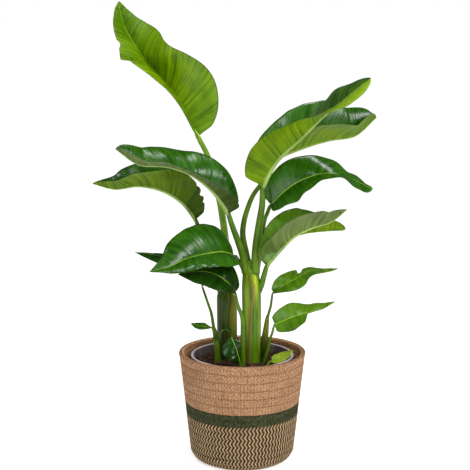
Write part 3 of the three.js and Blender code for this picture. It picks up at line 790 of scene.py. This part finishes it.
LEAVES["shaded_leaf"] = dict(
    stalk=[(1, -30, 195), (1, -30, 241), (1, -30, 283), (-1, -30, 300), (-9, -30, 321),
           (-14, -30, 342)],
    rib=[(-27, -38, 366), (-47, -45, 383), (-71, -53, 393), (-98, -62, 394), (-124, -70, 392)],
    right=(50, [70, 50, 25, 10, 0]), left=(48, [-20, -22, -32, -38, -44]), radii=(6, 3.5),
    outline=(0.42, 0.5, 0.9), surface=(0.08, 0.2, 2.0, 1.0), finish=SHADED, seed=18,
)
LEAVES["hidden_small_leaf"] = dict(
    stalk=[(-55, 6, 257), (-58, 12, 272), (-62, 25, 292), (-69, 40, 309), (-80, 55, 338)],
    rib=[(-87, 44, 370), (-114, 35, 390), (-146, 27, 404), (-179, 18, 413), (-212, 10, 419)],
    right=(30, [80, 60, 18, 2, 0]), left=(30, [-60, -40, -30, -40, -40]), radii=(3.5, 2.2),
    outline=(0.42, 0.6, 0.9), surface=(0.08, 0.1, 0.8, 0.6), finish=SHADED, seed=19,
    stations=SMALL_STATIONS,
)
LEAVES["low_left_leaf"] = dict(
    stalk=[(-52, -4, 245), (-56, -8, 260), (-60, -10, 271)],
    rib=[(-75, -14, 274), (-88, -18, 277), (-102, -25, 283)],
    right=(11, [5, 31, 29, 24, 14]), left=(13, [0, -8, -20, -40, -60]), radii=(2.5, 2),
    outline=(0.42, 0.6, 0.9), surface=(0.05, 0.1, 0.8, 0.6), finish=DARK, seed=20,
    stations=SMALL_STATIONS,
)
LEAVES["low_right_sprout"] = dict(
    stalk=[(-49, -4, 236), (-45, -9, 254), (-42, -10, 264)],
    rib=[(-35, -12, 268), (-27, -14, 266), (-19, -16, 260)],
    right=(12, [20, 20, 10, 0, -10]), left=(12, [30, 30, 20, 10, 0]), radii=(2.5, 2),
    outline=(0.42, 0.6, 0.9), surface=(0.05, 0.1, 0.8, 0.6), finish=SHADED, seed=21,
    stations=SMALL_STATIONS,
)
LEAVES["folded_leaf"] = dict(
    stalk=[(-3, -48, 195), (-4, -48, 200), (-4, -48, 205), (-5, -48, 211)],
    rib=[(-9, -50, 228), (-14, -50, 244), (-21, -46, 261)],
    right=(11, [60, 60, 60, 50, 40]), left=(29, [-70, -75, -75, -65, -50]), radii=(3, 2.4),
    outline=(0.6, 0.6, 0.6), surface=(0.1, 0.1, 0.8, 0.6), finish=SHADED, seed=22,
    stations=SMALL_STATIONS,
)
LEAVES["right_upper_small_leaf"] = dict(
    stalk=[(49, 11, 280), (54, 10, 300), (57, 9, 312), (60, 10, 336)],
    rib=[(81, -1, 354), (105, -10, 370), (129, -18, 386), (158, -26, 391), (187, -30, 395)],
    right=(28, [-15, -35, -47, -10, -27]), left=(27, [140, 60, 21, 0, -3], (0.42, 0.5, -0.5, -0.5)),
    radii=(3.2, 2.2), outline=(0.42, 0.6, 0.8), surface=(0.06, 0.1, 0.8, 0.6), finish=MIDDLE,
    seed=23, stations=SMALL_STATIONS,
)
LEAVES["right_lower_small_leaf"] = dict(
    stalk=[(42, -8, 195), (51, -10, 228), (55, -12, 249), (59, -14, 260), (63, -15, 278)],
    rib=[(85, -23, 290), (108, -31, 301), (133, -37, 309), (158, -41, 317), (181, -45, 332)],
    right=(29, [-60, -60, -31, 5, 13], (0.54, 1.1, -0.85, -0.85)), left=(28, [90, 90, 34, 37, 34]),
    radii=(4, 2.4), outline=(0.35, 0.4, 0.8), surface=(0.06, 0.4, 0.8, 0.6), finish=MIDDLE, seed=24,
    stations=SMALL_STATIONS, slot="bright_leaf",
)
LEAVES["pot_seedling_leaf"] = dict(
    stalk=[(48, -35, 196), (51, -33, 204), (58, -30, 209)],
    rib=[(76, -34, 216), (90, -37, 224), (99, -39, 232)],
    right=(17, [-10, -19, -17, -23, -30]), left=(14, [60, 38, 34, 27, 29]), radii=(2.2, 1.8),
    outline=(0.42, 0.4, 0.7), surface=(0.06, 0.3, 0.8, 0.6), finish=SEEDLING, seed=25,
    stations=SMALL_STATIONS, slot="bright_leaf",
)

for leaf_name, facts in LEAVES.items():
    stand_for(leaf_mesh(leaf_name + "_grown", facts), leaf_name)


# -------- basket finishes
def braid_finish(name, colours, weave, contrast, seam_dark, flecks, pits):
    """Braid finish. braid_place is (arrow, share of the seam, row number).

    colours are for the light and the dark strands, the hairs and the cracks. weave is as for
    braided_skin. contrast is how much the light and dark strands of a row differ; flecks and pits
    say how strongly light hairs and dark pits show.
    """
    light, dark, fleck, crack = (srgb(*each) for each in colours)
    plaits, heads, light_share, _ = weave

    def colour(tree):
        arrow, seam, row = apart(tree, attribute(tree, "braid_place"))
        if heads == 2:
            arrow = maths(tree, "ABSOLUTE", times_plus(tree, arrow, 2.0, -1.0))
        place = place_of(tree)
        braid = use_group(tree, BRAID, {
            "Position": place, "Arrow": arrow, "Row": row, "Pairs Round": plaits / 2,
            "Light Share": light_share,
        })
        fibre = use_group(tree, FIBRE, {"Position": place})
        uneven = times_plus(tree, tone_of(tree), 0.4, times(tree, braid["Chance"], 0.6))
        in_turn = times(tree, braid["Light"], spread(tree, uneven, 0, 1, 0.75))
        made = blend_colour(tree, blend_value(tree, contrast, uneven, in_turn), dark, light)
        made = blend_colour(tree, times(tree, fibre["Hair"], flecks), made, fleck)
        cracked = spread(tree, braid["Crest"], 0.05, 0.7, 0.8, 0.0)
        cracked = maths(tree, "MAXIMUM", cracked, times(tree, fibre["Pits"], pits))
        sewn = times(tree, seam, spread(tree, braid["Chance"], 0.35, 0.6, 0.15, seam_dark))
        made = blend_colour(tree, maths(tree, "MAXIMUM", cracked, sewn), made, crack)
        height = times_plus(tree, fibre["Pits"], -0.3, braid["Crest"])
        return {"colour": made, "height": times_plus(tree, fibre["Hair"], 0.25, height)}

    return finish_material(name, colour, 0.88, 0.8, 0.0008, 0.2)


# strands round, arrowheads in a row, share of the light strands, depth of the seams
TWO_TONE_WEAVE = (PLAITS_ROUND, 1, LIGHT_SHARE, 0.9)
FINE_WEAVE = (FINE_PLAITS_ROUND, 2, 0.5, 0.35)
TAN_BRAID = braid_finish(
    "tan_braid", [(203, 157, 117), (144, 98, 70), (240, 206, 160), (88, 50, 34)],
    FINE_WEAVE, 0.6, 0.95, 0.45, 0.55,
)
# A lighter copy of the tan braid for the inside of the rows: painted light against the shade inside
# the basket.
TAN_BRAID_PAINTED_LIT_INSIDE = braid_finish(
    "tan_braid_painted_lit_inside", [(255, 204, 150), (204, 136, 92), (255, 226, 180), (110, 62, 40)],
    FINE_WEAVE, 0.8, 0.9, 0.45, 0.6,
)
GREEN_BRAID = braid_finish(
    "green_braid", [(66, 72, 42), (32, 42, 22), (126, 120, 84), (8, 14, 4)],
    FINE_WEAVE, 0.5, 0.9, 0.6, 0.6,
)
TWO_TONE_BRAID = braid_finish(
    "two_tone_braid", [(202, 174, 134), (64, 46, 26), (150, 120, 84), (30, 20, 10)],
    TWO_TONE_WEAVE, 1.0, 0.25, 0.25, 0.35,
)


# -------- basket
def wall_radius(z):
    return BASKET_FOOT_RADIUS + (BASKET_RIM_RADIUS - BASKET_FOOT_RADIUS) * z / BASKET_HEIGHT


def row_share(heights, seams):
    """Which row each height is in, and the share of the way up that row."""
    seams = np.asarray(seams)
    row = np.clip(np.searchsorted(seams, heights, side="right") - 1, 0, len(seams) - 2)
    share = (heights - seams[row]) / (seams[row + 1] - seams[row])
    return row, np.clip(share, 0, 1)


def braid_relief(turn, arrow, seam, plaits, light_share):
    """How far the strands stand out, in step with the flat braid finish."""
    part = turn / (2 * np.pi) * plaits / 2 + BRAID_SLANT * arrow
    part = part - np.floor(part)
    in_light = part / light_share
    in_dark = (part - light_share) / (1 - light_share)
    across = np.where(part < light_share, in_light, in_dark)
    crest = 1 - np.abs(2 * across - 1) ** STRAND_ROUNDNESS
    return CREST_DEPTH * crest * (1 - 0.6 * seam)


def braided_skin(profile, rows, weave, relief):
    """Points round the axis for a profile of (radius, height, outward r, outward z).

    rows holds the row number and the share of the row at each station, weave is one of the tuples
    above, and relief is the share of the strands' relief at each station. Also returns (arrow,
    share of the seam, row number) for each point.
    """
    plaits, heads, light_share, seam_depth = weave
    turn = full_turn(ROUND_COLUMNS)
    row, share = rows
    arrow = 1 - np.abs(2 * share - 1)
    seam = eased(1 - np.clip(np.minimum(share, 1 - share) / SEAM_REACH, 0, 1))
    bulge = ROW_BULGE * seam_depth * (1 - (2 * share - 1) ** 2)
    bent = np.abs(2 * arrow - 1) if heads == 2 else arrow
    out = braid_relief(turn[None, :], bent[:, None], seam[:, None], plaits, light_share)
    out = out - seam_depth * seam[:, None]
    out = (out + bulge[:, None]) * relief[:, None]
    sway = WALL_SWAY * wave(turn / (2 * np.pi), 3, 4, 1, 4)
    out = out + sway[None, :] * np.minimum(relief, 1)[:, None]
    radius = profile[:, 0:1] + out * profile[:, 2:3]
    points = turned(radius, profile[:, 1:2] + out * profile[:, 3:4], turn)
    place = np.stack([arrow, seam * relief, row.astype(float)], -1)
    return points, np.broadcast_to(place[:, None, :], points.shape)


def outward(profile):
    """The profile with its outward direction at each station."""
    line = np.asarray(profile, float)
    way = unit(np.gradient(line, axis=0))
    return np.concatenate([line, np.stack([way[:, 1], -way[:, 0]], -1)], 1)


def wall_profile(bottom, top, rim):
    """Outside from the bottom up, over the top edge, and down the inside."""
    shoulder = top - RIM_ROUND[0] if rim else top

    def swell(z):
        return eased(np.clip((z - (top - RIM_DEPTH)) / RIM_DEPTH, 0, 1)) if rim else 0.0

    def outside(z):
        return wall_radius(z) - CREST_DEPTH + RIM_SWELL_OUT * swell(z)

    def inside(z):
        return wall_radius(z) - BASKET_WALL + CREST_DEPTH - RIM_SWELL_IN * swell(z)

    line = [(outside(z), z) for z in np.arange(bottom, shoulder, OUTER_STEP)]
    if rim:
        outer, inner = outside(shoulder), inside(shoulder)
        middle, half = (outer + inner) / 2, (outer - inner) / 2
        for k in range(13):
            turn = math.pi * k / 12
            line.append((middle + half * math.cos(turn), shoulder + RIM_ROUND[1] * math.sin(turn)))
        downward = [
            *np.arange(shoulder - OUTER_STEP, top - RIM_INSIDE, -OUTER_STEP),
            *np.arange(top - RIM_INSIDE - 2, bottom, -INNER_STEP),
        ]
    else:
        line.append((outside(top), top))
        downward = np.arange(top, bottom, -INNER_STEP)
    line += [(inside(z), z) for z in [*downward, bottom]]
    return outward(line)


def braided_wall(name, node, materials, seams, weave, rim=False):
    """A wall of braided rows with an outside, an inside and closed edges.

    materials are for the outside and, if there is a second one, for the inside. The tan rows'
    inside one is painted lighter: painted light against the shade inside the basket.
    """
    profile = wall_profile(seams[0], seams[-1], rim)
    count = len(profile)
    rows = row_share(profile[:, 1], seams)
    points, places = braided_skin(profile, rows, weave, np.ones(count))
    column = np.arange(ROUND_COLUMNS)
    after = (column + 1) % ROUND_COLUMNS
    last = (count - 1) * ROUND_COLUMNS
    closing = np.stack([last + column, last + after, after, column], -1)
    faces = np.concatenate([ring_faces(count, ROUND_COLUMNS), closing]).tolist()
    inside = (profile[:-1, 2] < 0).astype(int) * (len(materials) - 1)
    picks = np.concatenate([np.repeat(inside, ROUND_COLUMNS), np.zeros(ROUND_COLUMNS, int)])
    spots = {"braid_place": places.reshape(-1, 3)}
    stand_for(make_piece(name, points.reshape(-1, 3), faces, materials, picks, spots), node)


def braided_base():
    """The rounded corner and the flat underside, closed by a plain floor inside."""
    wide = wall_radius(BASKET_CORNER_TOP)
    hub = 0.6
    line = [(max(r, hub), CREST_DEPTH) for r in np.arange(0.0, BASKET_FLAT_RADIUS, 2.0)]
    corner_steps = 34
    for k in range(corner_steps + 1):
        turn = k / corner_steps * math.pi / 2
        r = BASKET_FLAT_RADIUS + (wide - CREST_DEPTH - BASKET_FLAT_RADIUS) * math.sin(turn)
        z = CREST_DEPTH + (BASKET_CORNER_TOP - CREST_DEPTH) * (1 - math.cos(turn))
        line.append((r, z))
    outer = len(line)
    line += [
        (wide - BASKET_WALL + CREST_DEPTH, BASKET_CORNER_TOP),
        (wide - BASKET_WALL - 5, BASKET_CORNER_TOP * 0.55),
        (BASKET_FLAT_RADIUS + 8, BASE_FLOOR), (hub, BASE_FLOOR),
    ]
    profile = outward(line)
    lengths = np.cumsum([0, *np.linalg.norm(np.diff(profile[:, :2], axis=0), axis=1)])
    back = (lengths[outer - 1] - lengths) / BASE_ROW
    row = np.floor(back)
    share = 1 - (back - row)
    share[outer:] = 0.5
    row[outer:] = 0
    relief = np.where(np.arange(len(profile)) < outer, 1.0, 0.0)
    first_row = 20  # keeps the base's strands from repeating those of the wall
    rings, places = braided_skin(profile, (row + first_row, share), TWO_TONE_WEAVE, relief)
    rings[..., 2] = np.maximum(rings[..., 2], 0.0)
    points, faces = closed_tube(rings, (0, 0, 0.6), (0, 0, BASE_FLOOR))
    spots = {"braid_place": np.vstack([places.reshape(-1, 3), [[0.5, 0, 0]] * 2])}
    piece = make_piece("basket_base_braid", points, faces, [TWO_TONE_BRAID], None, spots)
    stand_for(piece, "basket_base")


braided_base()
braided_wall(
    "lower_rows_braid", "basket_lower_wall", [TWO_TONE_BRAID], LOWER_SEAMS,
    TWO_TONE_WEAVE,
)
braided_wall(
    "green_rows_braid", "basket_green_band", [GREEN_BRAID], BAND_SEAMS, FINE_WEAVE,
)
# The inside of the tan rows is painted lighter: painted light inside the basket.
braided_wall(
    "tan_rows_braid", "basket_upper_wall", [TAN_BRAID, TAN_BRAID_PAINTED_LIT_INSIDE], UPPER_SEAMS,
    FINE_WEAVE, rim=True,
)


# -------- pot
def pot_radius(z):
    share = (z - POT_FLOOR) / (POT_RIM_TOP - POT_FLOOR)
    return POT_FOOT_RADIUS + (POT_RIM_RADIUS - POT_LIP - POT_FOOT_RADIUS) * share


def pot_colour(tree):
    place = place_of(tree)
    dust = grain(tree, place, 300.0, 4.0, 0.6)
    made = blend_colour(tree, tone_of(tree), srgb(96, 84, 86), srgb(128, 116, 116))
    made = blend_colour(tree, spread(tree, dust, 0.5, 0.75, 0.0, 0.5), made, srgb(150, 134, 124))
    # painted highlight: the top of the lip is painted almost white
    height = apart(tree, place)[2]
    painted_lip_highlight = spread(tree, height, (POT_RIM_TOP - POT_LIP_ROUND) * MM, (POT_RIM_TOP - 0.9) * MM)
    made = blend_colour(tree, painted_lip_highlight, made, srgb(214, 204, 206))
    scuff = grain(tree, stretched(tree, place, (1, 1, 6)), 60.0, 3.0)
    gloss = spread(tree, scuff, 0.3, 0.7, 0.3, 0.48)
    return {"colour": made, "roughness": gloss, "height": dust}


def nursery_pot():
    lip_bottom = POT_RIM_TOP - POT_RIM_DEPTH
    lip_top = POT_RIM_TOP - POT_LIP_ROUND
    hub = 0.5
    line = [
        (hub, POT_FLOOR), (POT_FOOT_RADIUS - 1.5, POT_FLOOR), (POT_FOOT_RADIUS, POT_FLOOR + 1.5),
    ]
    line += [(pot_radius(z), z) for z in np.linspace(POT_FLOOR + 4, lip_bottom - 1, 12)]
    line += [
        (pot_radius(lip_bottom), lip_bottom), (POT_RIM_RADIUS - 0.6, lip_bottom),
        (POT_RIM_RADIUS, lip_bottom + 0.8), (POT_RIM_RADIUS, lip_top),
    ]
    half = (POT_RIM_RADIUS - pot_radius(POT_RIM_TOP) + POT_WALL) / 2
    for k in range(1, 10):
        turn = math.pi * k / 10
        radius = POT_RIM_RADIUS - half + half * math.cos(turn)
        line.append((radius, lip_top + POT_LIP_ROUND * math.sin(turn)))
    for z in np.linspace(POT_RIM_TOP - 2, POT_FLOOR + 3, 14):
        line.append((pot_radius(z) - POT_WALL, z))
    line.append((hub, POT_FLOOR + POT_WALL))
    line = np.array(line)
    rings = turned(line[:, 0:1], line[:, 1:2], full_turn(160))
    points, faces = closed_tube(rings, (0, 0, line[0, 1]), (0, 0, line[-1, 1]))
    plastic = finish_material("pot_plastic", pot_colour, 0.4, 0.2, 0.0003)
    stand_for(make_piece("culture_pot", points, faces, [plastic]), "nursery_pot")


nursery_pot()


# -------- soil
def soil_finish(name, deep, light, bark):
    def colour(tree):
        place = place_of(tree)
        crumb = grain(tree, place, 190.0, 5.0, 0.65)
        speck = grain(tree, place, 620.0, 2.0, 0.6)
        made = blend_colour(tree, spread(tree, crumb, 0.35, 0.7), srgb(*deep), srgb(*light))
        speckled = spread(tree, speck, 0.62, 0.78, 0.0, 0.7)
        return {"colour": blend_colour(tree, speckled, made, srgb(*bark)), "height": crumb}

    return finish_material(name, colour, 0.92, 1.0, 0.0015)


SOIL = soil_finish("potting_soil", (26, 17, 12), (66, 44, 32), (150, 116, 88))
BARK = soil_finish("bark_chips", (56, 34, 24), (112, 74, 50), (150, 112, 80))


def crumbled_soil():
    turn = full_turn(200)
    chance = np.random.default_rng(5)
    widest = pot_radius(SOIL_TOP) - POT_WALL - SOIL_GAPS[0]
    radii = widest * np.linspace(0.01, 1, 62)[:, None]
    x, y = radii * np.cos(turn), radii * np.sin(turn)
    lift = np.zeros_like(x)
    for size, height in ((34, 1.6), (15, 1.2), (7, 1.0), (3.6, 0.7)):
        for _ in range(4):
            way = chance.uniform(0, 2 * np.pi)
            shift = chance.uniform(0, 2 * np.pi)
            pace = 2 * np.pi / (size * chance.uniform(0.7, 1.3))
            lift += height / 2 * np.sin(pace * (x * np.cos(way) + y * np.sin(way)) + shift)
    top = turned(radii, SOIL_TOP - 1.0 + lift, turn)
    low = turned(pot_radius(SOIL_BOTTOM) - POT_WALL - SOIL_GAPS[1], SOIL_BOTTOM, turn)
    rings = np.concatenate([top, low[None]])
    points, faces = closed_tube(rings, (0, 0, top[0, :, 2].mean()), (0, 0, SOIL_BOTTOM))
    faces = [face[::-1] for face in faces]
    stand_for(make_piece("soil_crumbled", points, faces, [SOIL]), "root_ball")


# centre, half width and half depth of each stem and stalk where it leaves the soil
STEM_FEET = [
    (20, 0, 18, 19), (-29, 34, 20, 19), (-49, -4, 8, 7), (41, 12, 8, 7),
    (1, -30, 6, 6), (-3, -48, 3, 3), (42, -8, 4, 4), (48, -35, 2.2, 2.2),
]
CHIP_ROUGHNESS = 0.22
CHIP_TILT = 0.5
CHIP_CORNERS = ((-1, -1), (0.1, -1.1), (1, -0.8), (1, 0.9), (-0.1, 1.1), (-1, 0.8))


def chip_shape(chance, size):
    """One irregular chip: a box whose corners are pushed about, with a broken top."""
    corners = np.array([[x, y, z] for z in (-0.5, 0.5) for x, y in CHIP_CORNERS], float)
    corners = (corners + chance.uniform(-CHIP_ROUGHNESS, CHIP_ROUGHNESS, corners.shape)) * size
    turns = [chance.uniform(-CHIP_TILT, CHIP_TILT) for _ in range(2)] + [chance.uniform(0, 6.28)]
    (cx, sx), (cy, sy), (cz, sz) = ((math.cos(turn), math.sin(turn)) for turn in turns)
    yaw = np.array([[cz, -sz, 0], [sz, cz, 0], [0, 0, 1]])
    pitch = np.array([[cy, 0, sy], [0, 1, 0], [-sy, 0, cy]])
    roll = np.array([[1, 0, 0], [0, cx, -sx], [0, sx, cx]])
    faces = [[5, 4, 3, 2, 1, 0], [6, 7, 8, 9, 10, 11]]
    for k in range(6):
        after = (k + 1) % 6
        faces.append([k, after, after + 6, k + 6])
    return corners @ (yaw @ pitch @ roll).T, faces


def in_a_stem(place, reach):
    """Whether a chip that reaches so far from its place would be inside a stem's foot."""
    for x, y, half_width, half_depth in STEM_FEET:
        across = (place[0] - x) / (half_width + reach)
        deep = (place[1] - y) / (half_depth + reach)
        if across * across + deep * deep < 1:
            return True
    return False


def scattered_bark():
    chance = np.random.default_rng(21)
    points, faces = [], []
    limit = pot_radius(SOIL_TOP) - POT_WALL - 5
    while len(points) < CHIP_COUNT:
        radius = limit * math.sqrt(chance.uniform(0, 1))
        turn = chance.uniform(0, 2 * np.pi)
        length = chance.uniform(1.6, 5.2)
        wide = length * chance.uniform(0.35, 0.8)
        size = np.array([length, wide, length * chance.uniform(0.3, 0.6)])
        shape, sides = chip_shape(chance, size)
        height = SOIL_TOP + chance.uniform(-1.0, 1.2)
        place = np.array([radius * math.cos(turn), radius * math.sin(turn), height])
        if in_a_stem(place, length):
            continue
        start = len(points) * len(shape)
        points.append(shape + place)
        faces.extend([[start + k for k in side] for side in sides])
    piece = make_piece("bark_chips", np.vstack(points), faces, [BARK], smooth=False)
    stand_for(piece, None)


crumbled_soil()
scattered_bark()


# -------- stems of clasping sheaths
def sheath_finish(name, deep, light, yellow, dry):
    """Sheath finish. sheath_place is (share of dried edge, share of yellowing, turn)."""
    def colour(tree):
        dried, yellowed, _ = apart(tree, attribute(tree, "sheath_place"))
        streak = grain(tree, stretched(tree, place_of(tree), (1.0, 1.0, 0.06)), 300.0, 3.0, 0.6)
        made = blend_colour(tree, spread(tree, streak, 0.3, 0.7), srgb(*deep), srgb(*light))
        made = blend_colour(tree, times(tree, tone_of(tree), 0.3), made, srgb(*light))
        made = blend_colour(tree, yellowed, made, srgb(*yellow))
        spotted = times(tree, dried, spread(tree, streak, 0.2, 0.6, 0.6, 1.0))
        return {"colour": blend_colour(tree, spotted, made, srgb(*dry)), "height": streak}

    return finish_material(name, colour, 0.42, 0.4, 0.0006, 0.3)


GREEN_SHEATH = sheath_finish(
    "green_sheath", (42, 80, 4), (92, 134, 12), (176, 196, 40), (140, 104, 66)
)
OLD_SHEATH = sheath_finish("old_sheath", (20, 40, 2), (64, 92, 8), (160, 158, 30), (70, 52, 16))


SHEATH_STEP = 0.035  # how softly a sheath's edge falls off, in radians
SHEATH_REACH = 1.9  # how far round it thins out to nothing
DRIED_EDGE = (0.07, 0.09)  # where its dry line is and how wide
FINE_RIBS = ((0.12, 22, 0), (0.08, 37, 1))  # height, number round the stem and shift


def turned_away(grid, angle):
    """How far round each column is from an angle, between -pi and pi."""
    return (grid - angle + np.pi) % (2 * np.pi) - np.pi


def smoothed(values):
    """Running mean of seven values, the ends held."""
    padded = np.concatenate([np.full(3, values[0]), values, np.full(3, values[-1])])
    return np.convolve(padded, np.ones(7) / 7, mode="valid")


def clasped_stem(name, node, material, rings, edges, yellow):
    """rings of [x, y, z, half width, half depth]; edges are the margins of the outer sheaths.

    Each edge holds its angle in degrees at even steps up the stem, from where it starts to where it
    ends as shares of the height, how thick the sheath is, and which way round it wraps. yellow
    holds the angle and the width in degrees, the heights and the strength of each yellow patch.
    """
    rings = np.array(rings, float)
    rings = np.vstack([[*rings[0, :2], STEM_FOOT, *(rings[0, 3:] + 1.0)], rings])
    rows, columns = 96, 96
    share = np.linspace(0, 1, rows + 1)
    low, high = rings[0, 2], rings[-1, 2]
    spans = (rings[:, 2] - low) / (high - low)
    facts = [smoothed(np.interp(share, spans, rings[:, k]))[:, None] for k in (0, 1, 3, 4)]
    x, y, wide, deep = facts
    z = (low + (high - low) * share)[:, None]
    grid = np.broadcast_to(full_turn(columns), (rows + 1, columns))
    out, dried, tone = np.zeros_like(grid), np.zeros_like(grid), np.zeros_like(grid)
    for angles, start, stop, thick, hand in edges:
        local = np.clip((share - start) / (stop - start), 0, 1)
        gap = turned_away(grid, np.radians(smooth_values(angles, local))[:, None]) * hand
        live = ((share >= start) & (share <= stop)).astype(float)[:, None]
        step = 1 / (1 + np.exp(-gap / SHEATH_STEP)) * np.clip(1 - gap / SHEATH_REACH, 0, 1)
        out = out + thick * step * live
        dry = np.exp(-((gap - DRIED_EDGE[0]) / DRIED_EDGE[1]) ** 2) * live
        dried = np.maximum(dried, dry)
    for height, number, shift in FINE_RIBS:
        out = out + height * np.sin(grid * number + shift)
    across = x + (wide + out) * np.cos(grid)
    along = y + (deep + out) * np.sin(grid)
    body = np.stack([across, along, np.broadcast_to(z, grid.shape)], -1)
    for angle, width, bottom, top, amount in yellow:
        gap = turned_away(grid, math.radians(angle)) / math.radians(width)
        level = (z - (bottom + top) / 2) / ((top - bottom) / 2)
        tone = tone + amount * np.exp(-(gap**2)) * np.exp(-(level**2))
    places = np.stack([dried, np.clip(tone, 0, 1), grid], -1)
    foot, tip = (x[0, 0], y[0, 0], low), (x[-1, 0], y[-1, 0], high + 1.0)
    points, faces = closed_tube(body, foot, tip)
    spots = {"sheath_place": np.vstack([places.reshape(-1, 3), np.zeros((2, 3))])}
    stand_for(make_piece(name, points, faces, [material], None, spots), node)


clasped_stem(
    "main_sheaths", "main_stem", GREEN_SHEATH,
    [
        (20, 0, 200.3, 16, 17), (20, 0, 245, 17, 18), (19, 0, 300, 18.5, 19), (18, 1, 350, 18.5, 19),
        (17, 3, 380, 16, 17), (16, 4, 396, 9, 10), (16, 5, 404, 4, 5),
    ],
    [
        ([240, 248, 262, 274, 238], 0.0, 0.98, 1.9, 1),
        ([262, 256, 270, 292], 0.0, 0.8, 1.1, -1),
        ([60, 80, 100], 0.0, 0.9, 1.4, 1),
    ],
    [(297, 15, 335, 395, 1.0), (238, 16, 220, 400, 0.6), (330, 25, 220, 330, 0.25)],
)
clasped_stem(
    "rear_sheaths", "rear_stem", OLD_SHEATH,
    [
        (-29, 34, 200.3, 18, 17), (-30, 35, 260, 20, 19), (-31, 37, 320, 19.5, 18),
        (-33, 40, 345, 15, 14), (-34, 41, 360, 9, 8),
    ],
    [([250, 262, 280, 300], 0.0, 0.95, 1.6, 1), ([210, 225, 235], 0.1, 0.8, 1.2, -1)],
    [(312, 24, 225, 330, 1.0)],
)
clasped_stem(
    "left_shoot_sheaths", "left_shoot_stem", GREEN_SHEATH,
    [(-49, -4, 200.3, 7, 6), (-51, -3, 235, 6, 5), (-55, 4, 262, 4.5, 4.5), (-56, 6, 268, 2, 2)],
    [([250, 270, 290], 0.0, 0.9, 0.8, 1)],
    [],
)
clasped_stem(
    "right_shoot_sheaths", "right_shoot_stem", OLD_SHEATH,
    [(41, 12, 200.3, 7, 6), (46, 13, 250, 6.5, 5.5), (50, 11, 285, 4, 4), (51, 11, 292, 2, 2)],
    [([250, 265, 280], 0.0, 0.9, 0.8, 1)],
    [(270, 60, 240, 300, 0.9)],
)


# -------- floor, light and camera
FLOOR_SIZE = 40000.0
FLOOR_GLOW = 0.64
SKY_STRENGTH = 0.26
SKY_MIRRORED = 0.08
SUN_STRENGTH = 0.78
SUN_SPREAD = 50
WHITE = (1.0, 1.0, 1.0, 1.0)


def plain_floor():
    corners = [(x * FLOOR_SIZE, y * FLOOR_SIZE, 0) for x, y in ((-1, -1), (1, -1), (1, 1), (-1, 1))]

    def colour(tree):
        return {"colour": (0.9, 0.9, 0.9, 1.0)}

    finish = finish_material("pale_floor", colour, 0.95, shine=0.0)
    shader = finish.node_tree.nodes["Principled BSDF"]
    fill(finish.node_tree, shader, {"Emission Color": WHITE, "Emission Strength": FLOOR_GLOW})
    floor = make_piece("floor", corners, [[0, 1, 2, 3]], [finish])


def soft_lamp(name, place, target, size, power, mirrored=True):
    light = bpy.data.lights.new(name, "AREA")
    light.shape = "SQUARE"
    light.size = size
    light.energy = power
    lamp = set_out(name, light)
    lamp.location = place
    lamp.rotation_mode = "QUATERNION"
    lamp.rotation_quaternion = (Vector(target) - Vector(place)).to_track_quat("-Z", "Y")
    lamp.visible_glossy = mirrored


def even_sky():
    """White where it is seen directly, dimmer in reflections so that lamps stand out in them."""
    world = bpy.data.worlds.new("studio")
    world.use_nodes = True
    tree = world.node_tree
    ray = tree.nodes.new("ShaderNodeLightPath").outputs
    strength = times_plus(tree, ray["Is Glossy Ray"], SKY_MIRRORED - SKY_STRENGTH, SKY_STRENGTH)
    strength = times_plus(tree, ray["Is Camera Ray"], 1.0 - SKY_STRENGTH, strength)
    fill(tree, tree.nodes["Background"], {"Color": WHITE, "Strength": strength})
    bpy.context.scene.world = world


def broad_sun():
    light = bpy.data.lights.new("broad_sun", "SUN")
    light.energy = SUN_STRENGTH
    light.angle = math.radians(SUN_SPREAD)
    sun = set_out("broad_sun", light)
    sun.rotation_euler = (math.radians(42), 0, math.radians(30))
    sun.visible_glossy = False  # it lights the piece without whitening the gloss


bpy.context.scene.view_settings.view_transform = "Standard"
plain_floor()
even_sky()
broad_sun()
soft_lamp("key_box", (-0.9, -1.0, 2.0), (0, 0, 0.5), 0.5, 9)
soft_lamp("side_box", (1.4, -1.1, 1.5), (0, 0, 0.4), 0.6, 12)
soft_lamp("top_box", (0.1, 0.1, 2.3), (0, 0, 0.5), 0.6, 12)
soft_lamp("front_fill", (0.5, -2.2, 1.15), (0, 0, 0.25), 0.8, 10, mirrored=False)

# The camera looks along +Y, a little down.
camera_data = bpy.data.cameras.new("camera")
camera_data.sensor_width = 36.0
camera_data.lens = 102.93
camera_data.clip_end = 200.0
camera = set_out("camera", camera_data)
camera.location = (-0.0144, -2.6, 0.9245)
camera.rotation_euler = (math.radians(90 - 10.22), 0, 0)
bpy.context.scene.camera = camera
